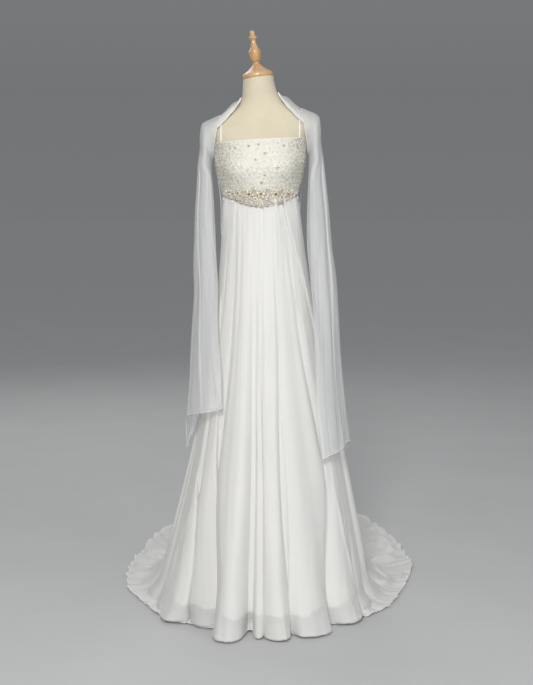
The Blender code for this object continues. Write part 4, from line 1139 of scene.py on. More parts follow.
def strap(name, side):
    """A flattened cord, wide along X, on the path between the front and the back edge."""
    path = strap_path(side)
    rise = side * STRAP_ASIDE * read(LEAN, BODICE_TOP, "rise")
    edge = np.where(path[:, 1] < 0, BODICE_TOP, BODICE_BACK_TOP) + rise
    path = path[path[:, 2] > edge]
    path = path[np.linspace(0, len(path) - 1, STRAP_ROWS).round().astype(int)]
    ahead = unit(np.gradient(path, axis=0))
    wide = np.broadcast_to([1.0, 0.0, 0.0], ahead.shape)
    thick = np.cross(wide, ahead)
    points = rings_on(path, wide, thick, STRAP_HALF_WIDTH, STRAP_DEPTH, STRAP_SIDES)
    grid(f"{name}_cord", points, satin, [name], around=True, caps=True, size=STRAP_CUT)


strap("strap_left", -1)
strap("strap_right", 1)


# The beading: seed beads and sequins sewn over the lace, thicker at the sides and towards the
# waist, and rosettes of cut stones with dark hearts. Every bead is a small ball on the lace's
# outer face.

BEAD_SEED = 7
BEADED_TO = 178.5         # degrees to each side
BEADED_DOWN = (0.02, 0.97)
BEADED_SIDES = (38, 78)   # degrees between which the beads come closer together
DRAWS = 6                 # places drawn for each bead that is sewn
SEED_BEADS = 5200
SEED_RADIUS = 0.00082
SILVER_SHARE = 0.55
SEQUINS = 1100
SEQUIN_RADIUS = 0.0013
SEQUIN_FLAT = 0.18
STONES = 6                # in a ring round each rosette's heart
STONE_RING = 0.0033
STONE_RADIUS = 0.0015
ROSETTE_HEART = 0.0017
ROSETTES = table(
    "bearing z",
    (-32, 1.363),
    (-14, 1.366),
    (-2, 1.369),
    (30, 1.362),
    (52, 1.357),
    (6, 1.342),
    (-6, 1.325),
    (-31, 1.307),
    (21, 1.300),
    (6, 1.280),
    (2, 1.259),
    (-70, 1.330),
    (72, 1.322),
    (108, 1.325),
    (128, 1.290),
    (150, 1.325),
    (210, 1.325),
    (232, 1.290),
    (252, 1.325),
)


def bead_finish(name, colour, tones, scale, roughness, **sockets):
    """Beads between two tones, which follow a noise of that scale."""
    made = finish(name, colour, roughness, **sockets)
    tone(made, noise(made, scale, detail=1.0), *tones)
    return made


silver = bead_finish(
    "silver_beads",
    (0.66, 0.64, 0.58),
    tones=((0.44, 0.41, 0.35), (0.86, 0.84, 0.78)),
    scale=300.0,
    roughness=0.34,
    Metallic=0.35,
)
gold = bead_finish(
    "champagne_beads",
    (0.66, 0.60, 0.46),
    tones=((0.46, 0.40, 0.29), (0.86, 0.80, 0.66)),
    scale=260.0,
    roughness=0.36,
    Metallic=0.25,
)
pearl = bead_finish(
    "pearl_beads",
    (0.90, 0.87, 0.80),
    tones=((0.84, 0.80, 0.72), (0.95, 0.93, 0.88)),
    scale=240.0,
    roughness=0.18,
    Coat_Weight=0.6,
    Coat_Roughness=0.1,
)
antique = bead_finish(
    "antique_beads",
    (0.22, 0.19, 0.15),
    tones=((0.10, 0.08, 0.06), (0.34, 0.29, 0.22)),
    scale=300.0,
    roughness=0.30,
    Metallic=0.4,
)


def ball(around, rings):
    """A unit ball's points and faces: rings between two poles."""
    turn = np.radians(np.linspace(0, 360, around, endpoint=False))
    up = np.radians(np.linspace(90, -90, rings + 2)[1:-1])[:, None]
    body = np.stack(
        np.broadcast_arrays(np.cos(up) * np.sin(turn), -np.cos(up) * np.cos(turn), np.sin(up)), -1
    )
    points = np.concatenate([[[0, 0, 1]], body.reshape(-1, 3), [[0, 0, -1]]])
    index = 1 + np.arange(rings * around).reshape(rings, around)
    beside = np.roll(index, -1, axis=1)
    top, last = np.zeros(around, int), np.full(around, len(points) - 1)
    poles = [np.stack([top, index[0], beside[0]], -1), np.stack([last, beside[-1], index[-1]], -1)]
    sides = np.stack([index[:-1], index[1:], beside[1:], beside[:-1]], -1)
    return points, (np.stack(poles, 1).reshape(-1, 3), sides.reshape(-1, 4))


def scatter(name, shape, places, axes, made):
    """One joined mesh with a copy of the shape at each place, its own X, Y and Z laid along the
    rows of axes, which also give its size."""
    points, faces = shape
    placed = places[:, None] + points @ axes
    offsets = np.arange(len(places))[:, None, None] * len(points)
    joined = [(alike + offsets).reshape(-1, alike.shape[1]).tolist() for alike in faces]
    mesh = bpy.data.meshes.new(name)
    mesh.from_pydata(placed.reshape(-1, 3).tolist(), [], sum(joined, []))
    mesh.shade_smooth()
    return link_mesh(name, mesh, made)


def scatter_kinds(shape, places, axes, kind, *kinds):
    """A joined mesh for each kind of bead: kinds are names and finishes, by number."""
    for number, (name, made) in enumerate(kinds):
        scatter(name, shape, places[kind == number], axes[kind == number], made)


def frames_on(point_of, bearing, z):
    """Unit axes on a surface given by point_of(bearing, z): along the bearing, up it, out."""
    along = unit(point_of(bearing + 0.3, z) - point_of(bearing - 0.3, z))
    up = point_of(bearing, z + 0.0006) - point_of(bearing, z - 0.0006)
    out = unit(np.cross(along, up))
    return np.stack([along, np.cross(out, along), out], -2)


def on_lace(bearing, z):
    """The lace's outer face."""
    relief = lace_relief(np.radians(bearing) * BODICE_RADIUS, z)
    return form_point(bearing, z, BODICE_AWAY + relief)


def on_plain_lace(bearing, z):
    return form_point(bearing, z, np.full(np.shape(bearing), BODICE_AWAY))


rng = np.random.default_rng(BEAD_SEED)


def strewn(count, plain_share):
    """Places on the bodice, kept more often at the sides and low down."""
    turn = rng.uniform(-BEADED_TO, BEADED_TO, DRAWS * count)
    share = rng.uniform(*BEADED_DOWN, DRAWS * count)
    top = bodice_top(turn)
    z = top + (SEAM_Z - top) * share
    side = ease((np.abs(turn) - BEADED_SIDES[0]) / np.ptp(BEADED_SIDES))
    wanted = plain_share + (1 - plain_share) * np.maximum(side, ease((share - 0.45) / 0.5))
    kept = rng.uniform(0, 1, DRAWS * count) < wanted
    return turn[kept][:count], z[kept][:count]


seed_turn, seed_z = strewn(SEED_BEADS, 0.16)
seed_axes = frames_on(on_plain_lace, seed_turn, seed_z)
seed_size = SEED_RADIUS * rng.uniform(0.75, 1.25, len(seed_turn))
seed_kind = np.where(rng.uniform(0, 1, len(seed_turn)) < SILVER_SHARE, 0, 1)
scatter_kinds(
    ball(5, 2),
    on_lace(seed_turn, seed_z),
    seed_axes * seed_size[:, None, None],
    seed_kind,
    ("seed_beads_silver", silver),
    ("seed_beads_pearl", pearl),
)

sequin_turn, sequin_z = strewn(SEQUINS, 0.25)
sequin_size = np.array([1, 1, SEQUIN_FLAT])[:, None] * SEQUIN_RADIUS
sequin_axes = frames_on(on_plain_lace, sequin_turn, sequin_z) * sequin_size
scatter("sequins", ball(8, 1), on_lace(sequin_turn, sequin_z), sequin_axes, pearl)


def step_off(bearing, z, reach, turn, radius):
    """The bearings and heights at a distance from each place on a wall of that radius, in the
    directions turn: 0 is up, and a quarter turn is towards the higher bearings."""
    bearing, z, reach = (np.reshape(values, (-1, 1)) for values in (bearing, z, reach))
    there = bearing + np.degrees(reach * np.sin(turn) / radius)
    return there.ravel(), (z + reach * np.cos(turn)).ravel()


stone_ring = np.radians(np.arange(STONES) * 360 / STONES)
stone_turn, stone_z = step_off(
    ROSETTES["bearing"], ROSETTES["z"], STONE_RING, stone_ring, BODICE_RADIUS
)
stone_axes = frames_on(on_plain_lace, stone_turn, stone_z) * STONE_RADIUS
scatter("rosette_stones", ball(8, 4), on_lace(stone_turn, stone_z), stone_axes, silver)
heart_axes = frames_on(on_plain_lace, ROSETTES["bearing"], ROSETTES["z"]) * ROSETTE_HEART
heart_places = on_lace(ROSETTES["bearing"], ROSETTES["z"])
scatter("rosette_hearts", ball(10, 5), heart_places, heart_axes, antique)


# The garland over the empire seam: flowers of five petals in silver and champagne beads with
# dark hearts, and sprigs of small leaves, sewn close together on a net strewn with beads.

TRIM_END = 64.0
TRIM_CORE = {"middle": 1.218, "rise": 0.008, "half": 0.015, "half_at_end": 0.003}
TRIM_GAP = 0.0010
TRIM_BASE = 0.0016
TRIM_BLEND = 0.010
NET_ROWS = 24
NET_COLUMNS = 260
NET_CUT = (0.235, 0.045)
WAIST = 0.105
FLOWERS = table(
    "bearing z radius out",
    (-62, 1.226, 0.0055, 0.0020),
    (-52, 1.224, 0.0070, 0.0026),
    (-42, 1.229, 0.0100, 0.0036),
    (-33, 1.232, 0.0125, 0.0046),
    (-24, 1.218, 0.0095, 0.0036),
    (-16, 1.226, 0.0145, 0.0052),
    (-7, 1.213, 0.0090, 0.0034),
    (1, 1.226, 0.0155, 0.0056),
    (11.5, 1.215, 0.0100, 0.0036),
    (22, 1.226, 0.0150, 0.0052),
    (32, 1.218, 0.0100, 0.0036),
    (42, 1.229, 0.0130, 0.0048),
    (52, 1.228, 0.0090, 0.0034),
    (62, 1.230, 0.0055, 0.0020),
    (-37, 1.213, 0.0068, 0.0026),
    (-29, 1.207, 0.0080, 0.0030),
    (-21.5, 1.203, 0.0074, 0.0028),
    (-14, 1.199, 0.0080, 0.0030),
    (-6, 1.197, 0.0078, 0.0034),
    (2, 1.195, 0.0085, 0.0034),
    (9.5, 1.198, 0.0076, 0.0030),
    (17, 1.200, 0.0080, 0.0030),
    (25, 1.203, 0.0074, 0.0028),
    (32, 1.206, 0.0078, 0.0028),
    (40, 1.210, 0.0070, 0.0026),
    (47, 1.214, 0.0060, 0.0024),
    (-27, 1.240, 0.0060, 0.0022),
    (-9, 1.240, 0.0065, 0.0024),
    (11, 1.241, 0.0065, 0.0024),
    (31, 1.240, 0.0060, 0.0022),
)
PETALS = 5
PETAL_REACH = 0.56        # of the flower's radius, to the petal's middle
PETAL_SIZE = (0.33, 0.46)  # half its width and length, of the flower's radius
PETAL_OUT = (0.50, 0.42)  # half its thickness and its middle's height, of the flower's
INNER_PETALS = 0.58       # the inner petals' reach, of the outer ones', turned by half a petal
INNER_SIZE = (0.62, 0.62, 0.8)
INNER_OUT = 0.9
FLOWER_HEART = 0.30
HEART_OUT = 0.8
FLOWER_TURN = 7.0         # times its bearing
FILL_BEADS = 1500
FILL_DOWN = (0.03, 0.97)
FILL_RADIUS = (0.0007, 0.0015)
FILL_OUT = 0.0006
# Sprigs of three leaves: their foot, the way they point (0 up, 90 towards +X) and their size
SPRIGS = table(
    "bearing z point size",
    (-66, 1.226, -70, 0.0085),
    (-69, 1.216, -120, 0.0080),
    (-58, 1.232, -30, 0.0070),
    (-27, 1.236, -15, 0.0065),
    (-6, 1.240, -20, 0.0070),
    (10, 1.240, 15, 0.0070),
    (30, 1.238, 20, 0.0065),
    (52, 1.234, 25, 0.0070),
    (66, 1.229, 60, 0.0080),
    (70, 1.220, 110, 0.0075),
    (-45, 1.208, -150, 0.0060),
    (49, 1.211, 150, 0.0060),
)
SPRIG_FAN = 34.0
LEAF_SIZE = (0.22, 0.55, 0.14)   # half its width, length and thickness, of its size
LEAF_REACH = 0.6
LEAF_OUT = 0.001


def over_seam(bearing, z, away):
    """A point of the bodice's face, or of the gathered skirt's below the seam, moved out."""
    on_skirt = 1 - ease((z - SEAM_Z) / TRIM_BLEND)
    waist = waist_radius(bearing, SKIRT_AWAY)
    drop = np.clip(1 - z / SEAM_Z, 0, 1)
    layer = BODICE_AWAY + (SKIRT_AWAY + GATHER_OUT + SEAM_GAP - BODICE_AWAY) * on_skirt
    layer = layer + flare(bearing, np.minimum(z, SEAM_Z), waist) + flutes(bearing) * drop
    point = form_point(bearing, np.maximum(z, SEAM_Z), layer + away)
    point[..., 2] = z
    return point


def on_net(bearing, z):
    """The outer face of the garland's net backing."""
    return over_seam(bearing, z, np.full(np.shape(bearing), TRIM_GAP + TRIM_BASE))


net = finish("beaded_net", (0.60, 0.55, 0.45), roughness=0.55, Sheen_Weight=0.1)
net_threads = noise(net, scale=500.0, detail=2.0)
tone(net, net_threads, (0.36, 0.33, 0.27), (0.74, 0.71, 0.63), span=(0.4, 0.6))
bump(net, net_threads, distance=0.0008, strength=0.6)

trim_turn = np.linspace(-TRIM_END, TRIM_END, NET_COLUMNS)
trim_share = np.linspace(0, 1, NET_ROWS)[:, None]
outward = (trim_turn[:, None] / TRIM_END) ** 2
trim_middle = TRIM_CORE["middle"] + TRIM_CORE["rise"] * outward
trim_half = TRIM_CORE["half"] + (TRIM_CORE["half_at_end"] - TRIM_CORE["half"]) * outward
flower_aside = np.radians(trim_turn[:, None] - FLOWERS["bearing"]) * WAIST
flower_reach = np.sqrt(np.clip((0.8 * FLOWERS["radius"]) ** 2 - flower_aside**2, 0, None))
is_met = flower_reach > 0
trim_top = np.where(is_met, FLOWERS["z"] + flower_reach, trim_middle + trim_half).max(1)
trim_low = np.where(is_met, FLOWERS["z"] - flower_reach, trim_middle - trim_half).min(1)
trim_z = trim_top + (trim_low - trim_top) * trim_share
net_points = on_net(np.broadcast_to(trim_turn, trim_z.shape), trim_z)
trim_net = grid("trim_net", net_points, net, ["waist_trim"], size=NET_CUT)
give_wall(trim_net, TRIM_BASE)


def laid(axes, turn, width, length, thickness):
    """Frames turned in the surface until their second axis points along turn, at those sizes."""
    along = np.sin(turn)[:, None] * axes[:, 0] + np.cos(turn)[:, None] * axes[:, 1]
    frames = np.stack([np.cross(along, axes[:, 2]), along, axes[:, 2]], -2)
    return frames * np.stack([width, length, thickness], -1)[..., None]


petal_turn = np.arange(PETALS) * 360 / PETALS + FLOWERS["bearing"][:, None] * FLOWER_TURN
petal_turn = np.radians(petal_turn)
petal_radius = np.repeat(FLOWERS["radius"], PETALS)
petal_height = np.repeat(FLOWERS["out"], PETALS)
petal_kind = np.repeat(np.arange(len(FLOWERS["z"])) % 2, PETALS)


def petal_ring(reach, turn, out):
    """The places of a ring of petals on every flower, and the net's axes under them."""
    reach = reach * FLOWERS["radius"]
    bearing, z = step_off(FLOWERS["bearing"], FLOWERS["z"], reach, turn, WAIST)
    axes = frames_on(on_net, bearing, z)
    return on_net(bearing, z) + axes[:, 2] * petal_height[:, None] * out, axes


outer_places, petal_axes = petal_ring(PETAL_REACH, petal_turn, PETAL_OUT[1])
inner_turn = petal_turn + pi / PETALS
inner_places, _ = petal_ring(PETAL_REACH * INNER_PETALS, inner_turn, INNER_OUT)
petal_frames = laid(
    petal_axes,
    petal_turn.ravel(),
    petal_radius * PETAL_SIZE[0],
    petal_radius * PETAL_SIZE[1],
    petal_height * PETAL_OUT[0],
)
petal_ball = ball(10, 5)
scatter_kinds(
    petal_ball,
    np.concatenate([outer_places, inner_places]),
    np.concatenate([petal_frames, petal_frames * np.array(INNER_SIZE)[:, None]]),
    np.tile(petal_kind, 2),
    ("petals_silver", silver),
    ("petals_gold", gold),
)

leaf_turn = np.radians(SPRIGS["point"][:, None] + SPRIG_FAN * np.array([-1, 0, 1]))
leaf_bearing, leaf_z = step_off(
    SPRIGS["bearing"], SPRIGS["z"], LEAF_REACH * SPRIGS["size"], leaf_turn, WAIST
)
leaf_axes = frames_on(on_net, leaf_bearing, leaf_z)
leaf_sizes = (np.repeat(SPRIGS["size"], 3) * part for part in LEAF_SIZE)
leaf_frames = laid(leaf_axes, leaf_turn.ravel(), *leaf_sizes)
leaf_places = on_net(leaf_bearing, leaf_z) + leaf_axes[:, 2] * LEAF_OUT
scatter("sprig_leaves", petal_ball, leaf_places, leaf_frames, pearl)

flower_axes = frames_on(on_net, FLOWERS["bearing"], FLOWERS["z"])
heart_places = on_net(FLOWERS["bearing"], FLOWERS["z"])
heart_places = heart_places + flower_axes[:, 2] * (FLOWERS["out"][:, None] * HEART_OUT)
heart_axes = flower_axes * FLOWERS["radius"][:, None, None] * FLOWER_HEART
scatter("flower_hearts", ball(10, 6), heart_places, heart_axes, antique)

fill_turn = rng.uniform(-TRIM_END + 1, TRIM_END - 1, FILL_BEADS)
fill_share = rng.uniform(*FILL_DOWN, FILL_BEADS)
fill_top = np.interp(fill_turn, trim_turn, trim_top)
fill_low = np.interp(fill_turn, trim_turn, trim_low)
fill_z = fill_top + (fill_low - fill_top) * fill_share
fill_axes = frames_on(on_net, fill_turn, fill_z)
fill_size = rng.uniform(*FILL_RADIUS, FILL_BEADS)
fill_places = on_net(fill_turn, fill_z) + fill_axes[:, 2] * FILL_OUT
scatter_kinds(
    ball(6, 2),
    fill_places,
    fill_axes * fill_size[:, None, None],
    rng.integers(0, 3, FILL_BEADS),
    ("trim_beads_silver", silver),
    ("trim_beads_gold", gold),
    ("trim_beads_pearl", pearl),
)


# The shrug: one layer of sheer ivory chiffon, from a stand-away collar round the neck over the
# shoulders to a loose back. Its front edge is turned back in front of the left shoulder and
# narrowly seamed at the right.

SHRUG_AWAY = 0.0092
SHRUG = table(
    "neck_bearing neck_z end_bearing end_z ring",
    (70, 1.514, 50, 1.418, 70),
    (82, 1.516, 68, 1.438, 38),
    (94, 1.516, 90, 1.450, 6),
    (105, 1.515, 112, 1.440, -30),
    (115, 1.516, 121, 1.405, -72),
    (125, 1.518, 119, 1.345, -128),
    (136, 1.521, 117, 1.215, -128),
    (148, 1.525, 126, 1.100, -128),
    (164, 1.529, 150, 1.064, -128),
    (180, 1.530, 180, 1.055, -128),
)
SHRUG_ROWS = 120
SHRUG_COLUMNS = 300
SHRUG_AT_ARMHOLE = 5
SHRUG_SAG = 17.0
SHRUG_CLOSE = 0.006       # the collar's front ends lie this much closer to the neck
SHRUG_LEFT_LOWER = 0.003  # and the left one ends this much lower
SHRUG_HANG = 1.385
SHRUG_FLARE = 0.16
SHRUG_BRIDGE = 0.012
SHRUG_BRIDGE_HEIGHT = 0.022
SHRUG_PLEAT = 0.004
SHRUG_PLEATS = 12
COLLAR_SHARE = 0.7        # of the way down, in which the collar's own shape fades
SHRUG_ARM_GAP = 0.0010
ARMPIT = (0.1430, 1.338)
SHOULDER = table(
    "turn length depth",
    (-10, 0.132, 0.050),
    (0, 0.122, 0.053),
    (15, 0.112, 0.056),
    (22, 0.091, 0.0575),
    (43, 0.0515, 0.0595),
    (90, 0.0395, 0.061),
)
SHOULDER_MIDDLE = 0.006


def armhole_point(ring):
    """A point of the right armhole's edge, at an angle round it from the shoulder's top."""
    turn = radians(SHOULDER["turn"][0])
    reach = SHOULDER["length"][0] * (1 + np.cos(np.radians(ring))) / 2
    x = ARMPIT[0] - SHRUG_ARM_GAP + reach * np.sin(turn)
    y = SHOULDER_MIDDLE - SHOULDER["depth"][0] * np.sin(np.radians(ring))
    return np.stack([x, y, ARMPIT[1] + reach * np.cos(turn)], -1)


def shrug_surface(at, shares):
    """Lines from the collar to the edge, on the form's skin moved out, which reach the armhole
    where the sleeve is sewn on, and hang in soft pleats behind."""
    last = len(SHRUG["neck_z"]) - 1
    half = np.minimum(at, 2 * last - at)
    side = np.where(at > last, -1, 1)
    row = np.arange(last + 1.0)
    neck, neck_z, end, end_z, ring = (curve(half, row, values) for values in SHRUG.values())
    front = ease(1 - half / 3) * SHRUG_SAG * np.sin(pi * shares)
    bearings = neck + (end - neck) * (ease(shares) + shares) / 2 - front
    at_collar = ease(1.3 - half / 5) * (1 - ease(shares / COLLAR_SHARE))
    heights = neck_z + (end_z - neck_z) * shares**1.15
    heights = heights - SHRUG_LEFT_LOWER * at_collar * (side < 0)
    hang = np.clip(SHRUG_HANG - heights, 0, None)
    pleat = SHRUG_PLEAT * np.cos(np.radians(neck * SHRUG_PLEATS)) * ease(hang * 5)
    bridge = SHRUG_BRIDGE * np.exp(-(((heights - NECK_BASE) / SHRUG_BRIDGE_HEIGHT) ** 2))
    away = SHRUG_AWAY + SHRUG_FLARE * hang + pleat + bridge * (1 - 0.5 * at_collar)
    away = away - SHRUG_CLOSE * at_collar
    points = form_point(side * bearings, heights, away, level=False)
    armhole = armhole_point(ring) * np.stack([side, np.ones_like(at), np.ones_like(at)], -1)
    to_armhole = leaned(armhole) - points[-1]
    sewn = ease(SHRUG_AT_ARMHOLE + 1 - half)[:, None] * shares[..., None] ** 1.5
    points = points + to_armhole * sewn
    slant = np.tan(radians(SHOULDER["turn"][0]))
    level = points[..., 2] - points[..., 0] * read(LEAN, points[..., 2], "rise")
    limit = armhole_point(180)[0] + slant * np.clip(level - ARMPIT[1], 0, None)
    points[..., 0] = np.clip(points[..., 0], -limit, limit)
    return points


sheer = finish("sheer_chiffon", (0.86, 0.87, 0.87), roughness=0.65, Sheen_Weight=0.2)
sheer_tone = noise(sheer, scale=6.0, detail=2.0)
tone(sheer, sheer_tone, (0.83, 0.845, 0.85), (0.88, 0.885, 0.88), span=(0.3, 0.7))
thin_cloth(sheer, (220, 20, 1), relief=(0.0006, 0.4), grain=0.3, opacity=(0.30, 0.58))

shrug_last = 2.0 * (len(SHRUG["neck_z"]) - 1)
shrug_points = shrug_surface(
    np.linspace(0, shrug_last, SHRUG_COLUMNS), np.linspace(0, 1, SHRUG_ROWS)[:, None]
)
SHRUG_CUT = (0.62, 0.47)
shrug = grid(
    "shrug_chiffon", shrug_points, sheer, ["shrug_back"], size=SHRUG_CUT
)

REVERS_AWAY = 0.0024      # the turned-back layer lies this far out
# Which columns are turned back, at the collar and at the armhole
REVERS = {"left": (0.75, 0.90), "right": (0.62, 0.42)}
REVERS_ROWS = 110
REVERS_COLUMNS = 22
REVERS_CUT = (0.03, 0.2)
EDGE_ROLL = 0.0009


def revers_surface(side):
    """The shrug's own surface in a strip along its front edge, moved out along its normal."""
    wide, low_wide = REVERS[side]
    share = np.linspace(0, 1, REVERS_ROWS)
    across = np.linspace(0, 1, REVERS_COLUMNS)
    at = across * (wide + (low_wide - wide) * share[:, None])
    at = shrug_last - at if side == "left" else at
    points = np.concatenate([shrug_surface(a, np.array([[s]])) for a, s in zip(at, share)])
    edge = ease(6 * across) * (1 - 0.6 * across**4)
    if side == "left":
        points, edge = points[:, ::-1], edge[::-1]
    normal = unit(np.cross(np.gradient(points, axis=0), np.gradient(points, axis=1)))
    return points + normal * REVERS_AWAY * edge[:, None]


def rolled_edge(name, path):
    """The sheer chiffon's rolled and stitched edge, all round."""
    return pipe(name, path, EDGE_ROLL, hem_thread, sides=6, closed=True)


shrug_edges = [
    grid(f"shrug_revers_{side}", revers_surface(side), chiffon, size=REVERS_CUT)
    for side in ("left", "right")
]
shrug_rim = [
    shrug_points[0],
    shrug_points[1:, -1],
    shrug_points[-1, -2::-1],
    shrug_points[-2:0:-1, 0],
]
shrug_edges.insert(0, rolled_edge("shrug_rolled_edge", np.concatenate(shrug_rim)))
armhole_edge = armhole_point(np.linspace(0, 360, 120, endpoint=False))
for side, sign in (("left", -1), ("right", 1)):
    edge = leaned(armhole_edge * (sign, 1, 1))
    shrug_edges.append(rolled_edge(f"armhole_seam_{side}", edge))


# The sleeves: long open sleeves of the same chiffon, set into the shrug's armholes and hanging
# flat beside the skirt to uneven pointed cuffs. Each is a ring carried over the shoulder and
# down, with a front fold and a back fold.

SLEEVE = {
    "right": table(
        "z front back inner room",
        (0.40, 44, 108, 0.200, 0.016),
        (0.60, 46, 106, 0.180, 0.026),
        (0.75, 50, 106, 0.165, 0.038),
        (0.90, 55, 108, 0.150, 0.054),
        (1.05, 60, 110, 0.142, 0.064),
        (1.20, 66, 111, 0.139, 0.056),
        (1.29, 69, 111, 0.143, 0.042),
    ),
    "left": table(
        "z front back inner room",
        (0.40, 30, 103, 0.170, 0.018),
        (0.60, 31, 103, 0.154, 0.028),
        (0.75, 38, 105, 0.146, 0.044),
        (0.90, 47, 108, 0.140, 0.052),
        (1.05, 56, 110, 0.138, 0.055),
        (1.20, 65, 111, 0.138, 0.050),
        (1.29, 69, 111, 0.143, 0.040),
    ),
}
SLEEVE_TOP = 1.29
# The cuff's height by the angle round the sleeve: low only where its back fold hangs in a point
CUFF = {
    "right": table(
        "ring z",
        (0, 0.500),
        (90, 0.470),
        (180, 0.482),
        (225, 0.470),
        (270, 0.402),
        (315, 0.470),
        (360, 0.500),
    ),
    "left": table(
        "ring z",
        (0, 0.584),
        (30, 0.598),
        (60, 0.610),
        (90, 0.617),
        (140, 0.612),
        (175, 0.598),
        (200, 0.566),
        (218, 0.512),
        (236, 0.478),
        (255, 0.462),
        (272, 0.457),
        (290, 0.474),
        (305, 0.528),
        (318, 0.558),
        (336, 0.567),
        (360, 0.584),
    ),
}
SLEEVE_FROM_SKIRT = 0.006
UNDERARM_DROP = 0.010
SLEEVE_FOLDS = table(
    "turn half_width out",
    (38, 26, 0.0050),
    (-8, 22, 0.0040),
    (-50, 24, 0.0045),
)
# Creases: the angle round the sleeve at the shoulder and at the cuff, the shares between which
# each shows, its half width and depth, and which side laps over the other.
SLEEVE_CREASES = {
    "left": table(
        "top cuff start end width depth lap",
        (30, 36, 0.12, 1.10, 0.0030, 0.0050, -1),
        (52, 62, 0.08, 1.10, 0.0032, 0.0060, 1),
        (80, 78, 0.25, 0.85, 0.0034, 0.0030, 0),
        (46, 44, 0.55, 1.10, 0.0045, 0.0030, 0),
        (-24, -34, 0.10, 1.10, 0.0035, 0.0050, 1),
        (140, 150, 0.20, 1.10, 0.0040, 0.0040, 1),
        (236, 222, 0.25, 1.10, 0.0040, 0.0040, -1),
    ),
    "right": table(
        "top cuff start end width depth lap",
        (26, 24, 0.10, 1.10, 0.0052, 0.0070, -1),
        (36, 33, 0.14, 1.10, 0.0026, 0.0030, 0),
        (70, 66, 0.20, 0.75, 0.0045, 0.0024, 0),
        (52, 56, 0.60, 1.10, 0.0045, 0.0034, 1),
        (-26, -36, 0.10, 1.10, 0.0035, 0.0050, 1),
        (144, 154, 0.20, 1.10, 0.0040, 0.0040, 1),
        (232, 220, 0.25, 1.10, 0.0040, 0.0040, -1),
    ),
}
SLEEVE_COLUMNS = 240
SLEEVE_ROWS = 200
SLEEVE_GIRTH = 0.32       # round the sleeve
SLEEVE_RIPPLE = 0.0010
SLEEVE_RIPPLES = 11
SLEEVE_FADE = 0.15        # the share in which a crease fades in or out
SKIRT_NEAR = (-9, -6, -3, 0, 3, 6, 9)  # degrees to the flutes that a sleeve keeps clear of
SKIRT_CLEAR = 0.003


def skirt_outside(bearing, z):
    """The largest radius of the skirt near a bearing, at a height where it hangs."""
    waist = waist_radius(bearing, SKIRT_AWAY)
    near = np.max([flutes(bearing + step) for step in SKIRT_NEAR], axis=0)
    drop = np.clip(1 - z / SEAM_Z, 0, 1)
    return waist + flare(bearing, z, waist) + near * drop + SKIRT_CLEAR


def ridge(distance, half_width):
    """1 on its line and 0 from half_width outwards, as a squared cosine."""
    return np.cos(np.clip(np.abs(distance) / half_width, 0, 1) * pi / 2) ** 2


def down_columns(points, rows):
    """Each column redrawn as a smooth curve through its points, at even steps along it."""
    steps = np.linalg.norm(np.diff(points, axis=0), axis=-1)
    ways = np.concatenate([np.zeros((1, steps.shape[1])), np.cumsum(steps, axis=0)])
    columns = []
    for way, column in zip(ways.T, points.swapaxes(0, 1)):
        at = np.linspace(0, way[-1], rows)
        columns.append(np.stack([curve(at, way, axis) for axis in column.T], -1))
    return np.stack(columns, axis=1)


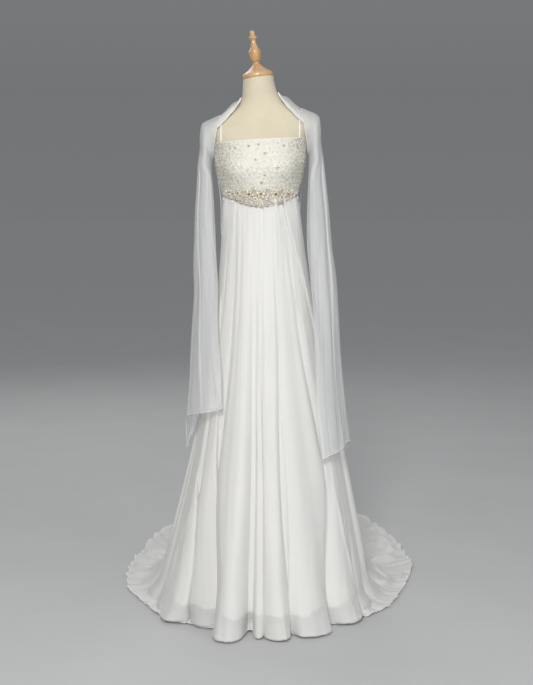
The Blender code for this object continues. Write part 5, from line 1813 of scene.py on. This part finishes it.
def sleeve_surface(side, sign):
    """Rings that turn about the armpit over the shoulder, then hang between two folds from the
    least radius that clears the skirt. 0 is the outer layer and 90 the front fold."""
    rings = np.linspace(0, 360, SLEEVE_COLUMNS, endpoint=False)
    outer = (1 + np.cos(np.radians(rings))) / 2
    forward = np.sin(np.radians(rings))
    folds = sum(
        out * ridge(turn_between(rings, turn), half_width)
        for turn, half_width, out in zip(*SLEEVE_FOLDS.values())
    )
    turn = np.radians(SHOULDER["turn"])[:, None]
    reach = SHOULDER["length"][:, None] * outer
    x = ARMPIT[0] + 0.3 * SEAM_GAP + reach * np.sin(turn)
    z = ARMPIT[1] - UNDERARM_DROP * turn + reach * np.cos(turn)
    y = SHOULDER_MIDDLE - SHOULDER["depth"][:, None] * forward
    over = np.stack([x, y, z], -1)

    cuff_z = read(CUFF[side], rings, "z")
    shares = np.linspace(0, 1, 9)[:, None]
    z = SLEEVE_TOP + (cuff_z - SLEEVE_TOP) * shares
    front, back, inner, room = read(SLEEVE[side], z, "front back inner room")
    bearing = (front + back) / 2 - (back - front) / 2 * forward
    clear = skirt_outside(sign * bearing, z) + SLEEVE_FROM_SKIRT
    radius = np.maximum(inner, clear) + room * outer + folds * ease(shares * 2)
    down = polar(bearing, radius, z)
    points = down_columns(np.concatenate([over, down], axis=0), SLEEVE_ROWS)

    share = np.linspace(0, 1, SLEEVE_ROWS)[:, None]
    moved = np.zeros((SLEEVE_ROWS, SLEEVE_COLUMNS))
    aside = np.zeros(moved.shape)
    for top, low, start, end, width, depth, lap in zip(*SLEEVE_CREASES[side].values()):
        u = turn_between(rings, top + (low - top) * share) * SLEEVE_GIRTH / 360
        shown = ease((share - start) / SLEEVE_FADE) * ease((end - share) / SLEEVE_FADE)
        fold_out, fold_aside = folded(u, width, depth, lap)
        moved += shown * fold_out
        aside += shown * fold_aside
    ripple = np.sin(np.radians(rings * SLEEVE_RIPPLES) + 2 * uneven(4 * share, 1.1))
    moved += SLEEVE_RIPPLE * ripple * ease(share * 4)
    along = unit(np.roll(points, -1, axis=1) - np.roll(points, 1, axis=1))
    outwards = unit(np.cross(along, np.gradient(points, axis=0)))
    points = points + outwards * moved[..., None] + along * aside[..., None]
    return leaned(points * (sign, 1, 1))


SLEEVE_CUT = {"left": (0.44, 0.93), "right": (0.48, 1.00)}
for side, sign in (("left", -1), ("right", 1)):
    sleeve_points = sleeve_surface(side, sign)[:, ::-sign]
    sleeve = grid(
        f"sleeve_{side}_chiffon",
        sleeve_points,
        sheer,
        [f"sleeve_{side}"],
        around=True,
        size=SLEEVE_CUT[side],
    )
    sleeve_hem = rolled_edge(f"sleeve_{side}_rolled_hem", sleeve_points[-1])
